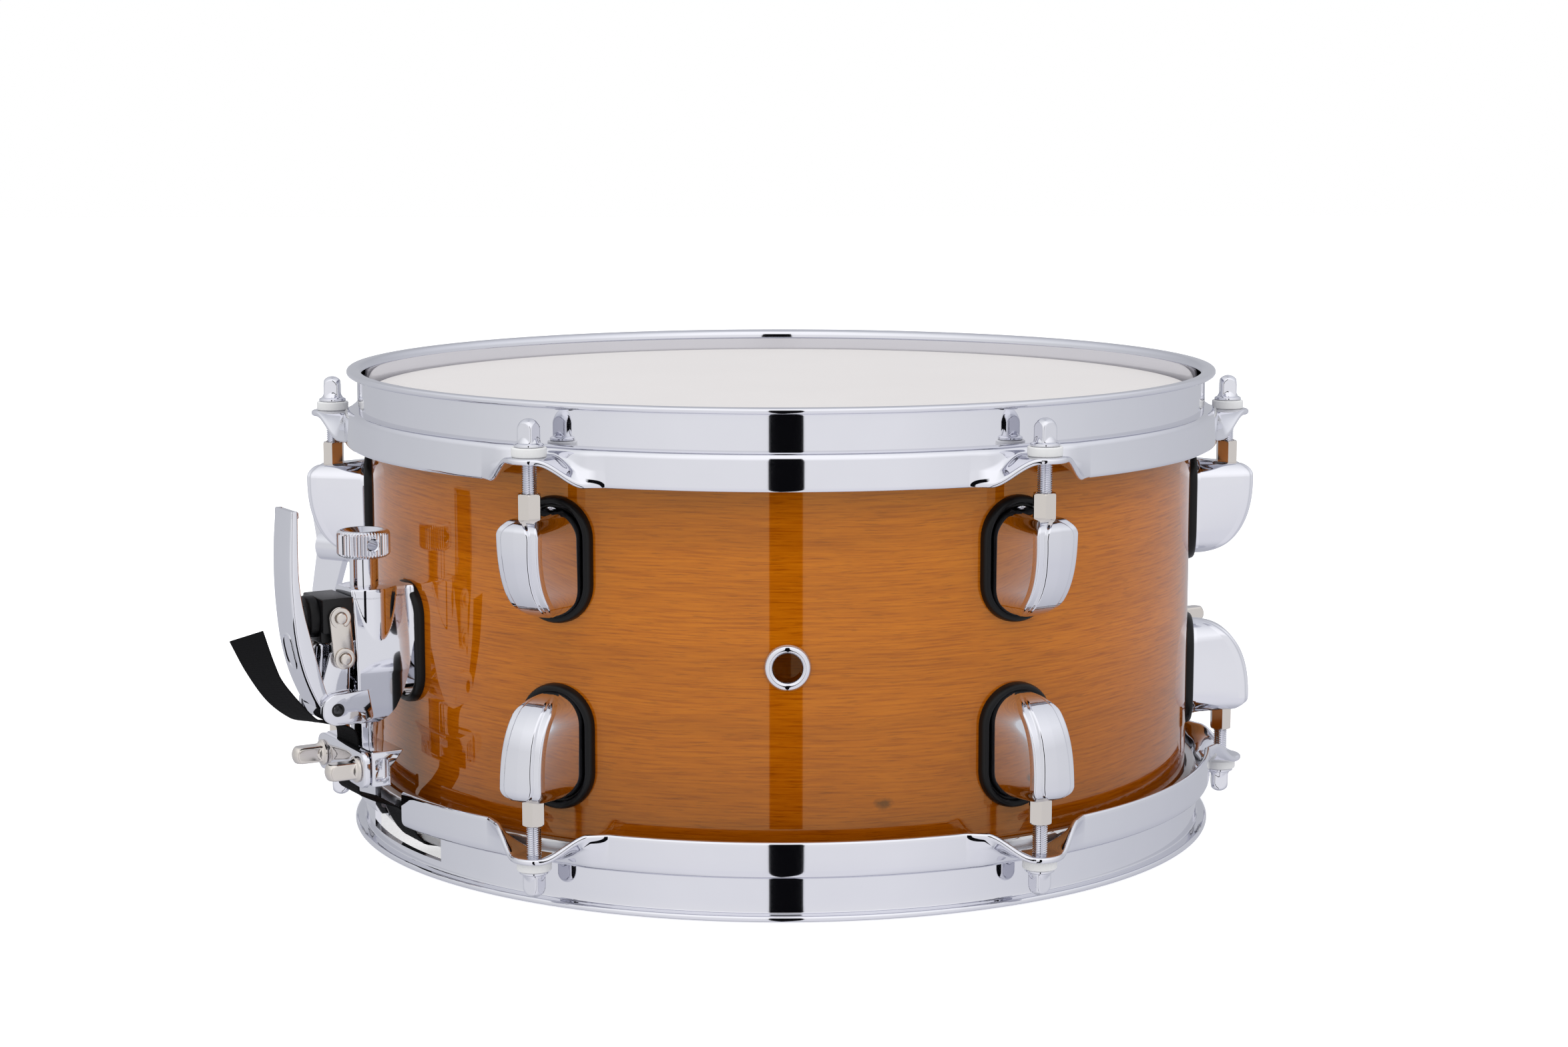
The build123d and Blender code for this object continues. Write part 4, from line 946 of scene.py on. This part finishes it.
def make_links():
    """Two link plates on their pins, each pin held by an open spring clip."""
    (xt, zt), (xl, zl) = LINK_TOP, LINK_LOW
    lean = math.atan2(xt - xl, zt - zl)
    outline = [(cx + 4.1 * math.cos(t - lean), cz + 4.1 * math.sin(t - lean))
               for (cx, cz), start in ((LINK_TOP, 0), (LINK_LOW, math.pi))
               for t in np.linspace(start, start + math.pi, 20)]
    plates, pins, low_pins, clips, low_clips = [], [], [], [], []
    u, v = pill(0.85, 0.42, 0.2, 4).T
    for side in (-1, 1):
        plates.append(slab(outline, *sorted((side * 10.4, side * 12.0)), 0.35))
        for (x, z), group, ring, inner in ((LINK_TOP, pins, clips, 0), (LINK_LOW, low_pins, low_clips, 9.3)):
            start, end = side * inner, side * 14.2
            pin = rounded([(0.02, start), (2.1, start), (2.1, end), (0.02, end + side * 0.1)],
                          [0, 0, 0.5, 0], 5, closed=False)
            group.append(laid_along_y(turned(pin, steps=40), x, z))
            ring.append(loft([np.stack([x + math.cos(t) * (3.1 + u), side * 12.5 + v,
                                        z + math.sin(t) * (3.1 + u)], -1)
                              for t in np.radians(np.linspace(-62, 242, 56))]))
    for name, parts, body, node in (
        ("link_pair", plates, "links", "link_plates"),
        ("link_studs", low_pins, "links", "link_low_pins"),
        ("link_stud_clips", low_clips, "links", "link_low_clips"),
        ("slide_pin", pins, "slider", "link_top_pin"),
        ("slide_pin_clips", clips, "slider", "link_top_clips"),
    ):
        piece(name, on_strainer(*parts), "zinc_steel", body, [node])


def make_slider():
    """Nylon block that the links pull, stepped wider at its head, with the lever's rubber stop."""
    parts = [block((175.6, 191), (-7.9, 7.9), (88, 103.2)), block((190.7, 202.6), (-9.9, 9.9), (92, 105)),
             block((190.5, 202.5), (-7.2, 7.2), (88, 93))]
    piece("slide_block", on_strainer(*parts), "black_plastic", "slider", ["slider_block"])
    dished = rounded([(0.02, 202.5), (8.0, 202.5), (8.0, 206.5), (4.5, 206.6), (3.6, 205.8), (0.02, 205.8)],
                     [0, 0.6, 1.1, 0.5, 0.4, 0], 5, closed=False)
    bumper = laid_along_x(turned(dished, steps=64), 0, 97.5)
    piece("stop_bumper", on_strainer(bumper), "black_rubber", "slider", ["lever_bumper"])


def make_clamp_bracket():
    """Upright and cross foot of the sliding clamp, pocketed at each end."""
    face = CLAMP_FACE_R
    side = rounded([(176.6, 48.2), (face, 48.2), (face, 35.0), (181.8, 35.0), (181.8, 41.5)],
                   [0.4, 0.7, 0.7, 0.7, 1.0], 5)
    foot = slab(side, -22.0, 22.0, 0.5)
    upright = block((177.4, 186.8), (-5.2, 5.2), (38.0, 79.5), 1.0)
    rib = block((180.4, 183.8), (-5.5, 5.5), (47.5, 79.4), 0.5)
    bracket = piece("clamp_slide", on_strainer(foot, upright, rib), "chrome", "clamp",
                    ["clamp_bracket"], sharp=35)
    pockets = [block((183.2, 188.2), y, (37.2, 45.6), 1.1) for y in ((19.6, 24.0), (-24.0, -19.6))]
    carve(bracket, on_strainer(*pockets), 35)


def screw_part(y, z, face):
    """Key screw whose square domed head stands out of the shell."""
    angles = np.linspace(0, 2 * math.pi, 64, endpoint=False)
    collar = rounded([(4.6, 0.02), (5.0, 0.3), (4.95, 1.0), (4.2, 1.5)], 0.3, 4, closed=False)
    rings = [(h, np.full(64, r)) for r, h in collar]
    rings += square_head(angles, 3.1, 12.6, 3.6, 4.05, 2.4, (4.2, 1.6, 3.2), 12)
    return loft([np.stack([np.full(64, face + h), y + r * np.cos(angles), z + r * np.sin(angles)], -1)
                 for h, r in rings])


def plate_part(z_low, z_high, waist):
    """Clamp's outer jaw: a soft-cornered plate, waisted below between its screws."""
    low, high = CLAMP_FACE_R + 0.72, CLAMP_FACE_R + 3.5
    middle, half_h, half_w = (z_low + z_high) / 2, (z_high - z_low) / 2, 22.8
    loops = []
    base = pill(half_w, half_h, 4.2, 14)
    shares = np.linspace(0, 1, 4, endpoint=False)[:, None]
    dense = np.vstack([here + (after - here) * shares for here, after in zip(base, np.roll(base, -1, 0))])
    for x, inset in ((low, 0.35), (low + 0.35, 0), (high - 0.6, 0), (high - 0.18, 0.18), (high, 0.6)):
        loop = dense * (1 - inset / half_w, 1 - inset / half_h)
        dip = waist * np.exp(-(loop[:, 0] / 7.0) ** 2) * (loop[:, 1] < 0)
        loops.append(np.stack([np.full(len(loop), x), loop[:, 0], middle + loop[:, 1] + dip], -1))
    return loft(loops)


def make_clamps():
    """Outer jaw and two key screws for the working strap, and the same at the butt."""
    for name, node, angle, body, z, jaw in (
        ("clamp", "clamp", STRAINER_ANGLE, "clamp", KEY_Z, plate_part(34.6, 48.4, 2.2)),
        ("butt", "butt_clamp", BUTT_ANGLE, "root", BUTT_Z, plate_part(BUTT_Z - 6.8, BUTT_Z + 7.0, 0)),
    ):
        keys = node.replace("_clamp", "") + "_key_screws"
        piece(f"{name}_jaw", [at(jaw, angle)], "zinc_steel", body, [f"{node}_plate"], 45, FINISHES["chrome"])
        screws = [at(screw_part(y, z, CLAMP_FACE_R + 3.5), angle) for y in (-KEY_SPREAD, KEY_SPREAD)]
        piece(f"{name}_screws", screws, "zinc_steel", body, [keys], sharp=50)


# Straps

def strap_part(left, right, thickness=0.7, across=13):
    """Ribbon between two edge curves, with a rounded selvedge along each."""
    left, right = np.asarray(left, float), np.asarray(right, float)
    run = np.gradient((left + right) / 2, axis=0)
    side = right - left
    normal = np.cross(run, side)
    normal /= np.linalg.norm(normal, axis=1)[:, None]
    rings = []
    share = np.linspace(0, 1, across)
    edge = thickness * (0.42 + 0.08 * np.cos((share - 0.5) * 2 * math.pi * 5))
    for start, width, up in zip(left, side, normal):
        middle, lift = start + np.outer(share, width), np.outer(edge, up)
        rings.append(np.vstack([middle + lift, middle[::-1] - lift]))
    return loft(rings)


def flat_strap(route, half=10.0, count=60, bend=3.0):
    """Ribbon of even width along an (x, z) route, square across."""
    line = rounded(route, bend, 8, closed=False)
    lengths = np.concatenate([[0], np.cumsum(np.linalg.norm(np.diff(line, axis=0), axis=1))])
    at_length = np.linspace(0, lengths[-1], count)
    x, z = (np.interp(at_length, lengths, column) for column in line.T)
    edges = [np.stack([x, np.full(count, w), z], -1) for w in (-half, half)]
    return strap_part(*edges)


def make_straps():
    """Free end over the lever's pivot, working end under the snare head, and the one fixed at the butt."""
    face = 189.95
    near = spline([(face, -10, 47.0), (face, -10, 49.6), (face + 0.3, -10, 52.0), (191.9, -10, 54.0),
                   (195.6, -10, 55.2), (204.0, -10, 56.3), (209.5, -10, 58.2), (217.9, -10, 65.5),
                   (225.6, -9.9, 77.0), (231.7, -9.8, 89.1)], 70)
    far = spline([(face, 10, 47.0), (face, 10, 49.6), (face + 0.3, 10, 52.3), (192.0, 10, 55.3),
                  (196.4, 10, 57.2), (203.7, 10, 59.2), (208.6, 10, 62.8), (218.3, 10, 74.9),
                  (222.0, 10, 82.9), (226.1, 9.9, 95.6)], 70)
    tail = piece("strap_free_end", [at(strap_part(near, far), STRAINER_ANGLE)], "black_ribbon", None,
                 ["strap_tail"])
    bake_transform(tail)
    gate = [(168.6, 14.6), (166.3, 10.8), (163.4, 7.3), (157.0, 5.7), (147.0, 5.7)]
    working = flat_strap([(face, 47.0), (face, 30.0), (183.0, 26.4), (174.4, 23.2), (170.6, 19.6), *gate])
    low = piece("strap_working_end", on_strainer(working), "black_ribbon", None, ["strap_lower"])
    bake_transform(low)
    fixed = flat_strap([(face, 69.0), (face, 46.0), (176.0, 21.5), *gate])
    piece("strap_fixed_end", [at(fixed, BUTT_ANGLE)], "black_ribbon", "root", ["butt_strap"])


# Snare wires

def coil_part(y, start, end, z, radius=0.72, wire=0.23, pitch=1.5, per_turn=8):
    """Spring strand as a real helix."""
    turns = (end - start) / pitch
    t = np.linspace(0, turns * 2 * math.pi, int(turns * per_turn) + 1)
    line = np.stack([start + t / (2 * math.pi) * pitch, y + radius * np.cos(t), z + radius * np.sin(t)], -1)
    run = np.gradient(line, axis=0)
    run /= np.linalg.norm(run, axis=1)[:, None]
    out = np.stack([np.zeros(len(t)), np.cos(t), np.sin(t)], -1)
    up = np.cross(run, out)
    quarters = np.linspace(0, 2 * math.pi, 4, False)
    rings = [line + wire * (math.cos(a) * out + math.sin(a) * up) for a in quarters]
    return loft(np.array(rings).transpose(1, 0, 2))


def make_wires():
    count, pitch, reach, z = 20, 2.35, 138.5, 7.0
    first = -(count - 1) / 2 * pitch
    strands = [at(coil_part(first + i * pitch, -reach, reach, z), STRAINER_ANGLE) for i in range(count)]
    piece("wire_strands", strands, "wire_steel", "wires", ["snare_wires"], sharp=80)


# Camera, light and floor

def make_camera():
    data = bpy.data.cameras.new("camera")
    data.lens = 66.02
    data.sensor_width = 36.0
    obj = bpy.data.objects.new("camera", data)
    obj.location = (-0.01615, -1.15666, 0.28709)
    obj.rotation_euler = (math.radians(90 - 8.368), 0, math.radians(-0.858))
    bpy.context.scene.collection.objects.link(obj)
    bpy.context.scene.camera = obj


def make_world():
    """White studio: soft lavender-white, dimmer behind, with one dark gap between the lights."""
    world = bpy.data.worlds.new("studio")
    bpy.context.scene.world = world
    world.use_nodes = True
    tree = world.node_tree
    tree.nodes.clear()
    n = Nodes.__new__(Nodes)
    n.tree = tree
    x, y, z = n.axes(n.add("ShaderNodeTexCoord").outputs["Generated"])
    azimuth = n.math("ARCTAN2", x, n.math("MULTIPLY", y, -1.0))
    turn = n.math("ADD", n.math("MULTIPLY", azimuth, 1 / (2 * math.pi)), 0.5)
    side = n.ramp(turn, (0.00, (0.48, 0.49, 0.53)), (0.15, (0.66, 0.67, 0.70)), (0.25, (0.76, 0.77, 0.79)),
                  (0.333, (0.87, 0.875, 0.89)), (0.42, (0.97, 0.97, 0.985)), (0.58, (0.98, 0.98, 1.0)),
                  (0.667, (0.87, 0.875, 0.90)), (0.75, (0.77, 0.78, 0.81)), (0.86, (0.66, 0.67, 0.71)),
                  (1.00, (0.48, 0.49, 0.53)))
    gap_centre, gap_half, soft = math.radians(0.5), math.radians(4.45), math.radians(0.12)
    off = n.math("ABSOLUTE", n.math("SUBTRACT", azimuth, gap_centre))
    open_side = n.math("DIVIDE", n.math("SUBTRACT", off, gap_half - soft), 2 * soft, True)
    above = n.math("DIVIDE", n.math("SUBTRACT", z, 0.55), 0.12, True)
    lit = n.math("MAXIMUM", open_side, above)
    overhead = n.ramp(n.math("ADD", n.math("MULTIPLY", z, 0.5), 0.5), (0.30, (0.93, 0.93, 0.96)),
                      (0.44, (1.0, 1.0, 1.0)), (0.62, (1.0, 1.0, 1.0)), (0.80, (1.30, 1.30, 1.29)))
    studio = n.mix(1.0, side, overhead, "MULTIPLY")
    studio = n.mix(lit, (0.004, 0.004, 0.005), studio)
    seen = n.make("ShaderNodeBackground", 0, Color=(1, 1, 1))
    light = n.make("ShaderNodeBackground", 0, Color=studio, Strength=1.0)
    pick = n.add("ShaderNodeMixShader")
    n.link(n.add("ShaderNodeLightPath").outputs["Is Camera Ray"], pick.inputs[0])
    n.link(light, pick.inputs[1])
    n.link(seen, pick.inputs[2])
    n.link(pick.outputs[0], n.add("ShaderNodeOutputWorld").inputs[0])


def make_floor():
    """Pale floor that fades into the white background."""
    half, low = 6.0, -0.0004
    mesh = bpy.data.meshes.new("floor")
    steps = 12
    line = np.linspace(-half, half, steps + 1)
    points = [(x, y, low) for y in line for x in line]
    rows = steps + 1
    faces = [(i * rows + j, i * rows + j + 1, (i + 1) * rows + j + 1, (i + 1) * rows + j)
             for i in range(steps) for j in range(steps)]
    mesh.from_pydata(points, [], faces)
    floor = bpy.data.objects.new("floor", mesh)
    bpy.context.scene.collection.objects.link(floor)
    n = Nodes("pale_floor")
    grit = n.noise(n.place_of_point(), 30.0, 2.0)
    n.set(Base_Color=n.mix(grit, (0.93, 0.93, 0.935), (0.95, 0.95, 0.952)), Roughness=0.9)
    n.set(Emission_Color=(1.0, 1.0, 1.0), Emission_Strength=0.55, Specular_IOR_Level=0.0)
    mesh.materials.append(n.material)
    floor.visible_glossy = False
    floor.visible_diffuse = False


def make_light():
    """One large soft light above, for a faint shadow under the drum."""
    data = bpy.data.lights.new("overhead", "AREA")
    data.shape = "DISK"
    data.size = 1.6
    data.energy = 6.0
    obj = bpy.data.objects.new("overhead", data)
    obj.location = (-0.3, -0.3, 1.7)
    obj.rotation_euler = (math.radians(-10), math.radians(-10), 0)
    obj.visible_glossy = False
    bpy.context.scene.collection.objects.link(obj)


make_camera()
make_world()
make_light()
make_floor()
finish_cad_nodes()
make_shell()
make_head("batter_film_coated", "coated_film", "batter_head_film", False)
make_head("snare_film_clear", "clear_film", "snare_head_film", True)
make_hoops()
make_rods()
make_lugs()
make_vent()
make_strainer_body()
make_knob()
make_lever()
make_links()
make_slider()
make_clamp_bracket()
make_clamps()
make_straps()
make_wires()

bpy.context.scene.view_settings.view_transform = "Standard"
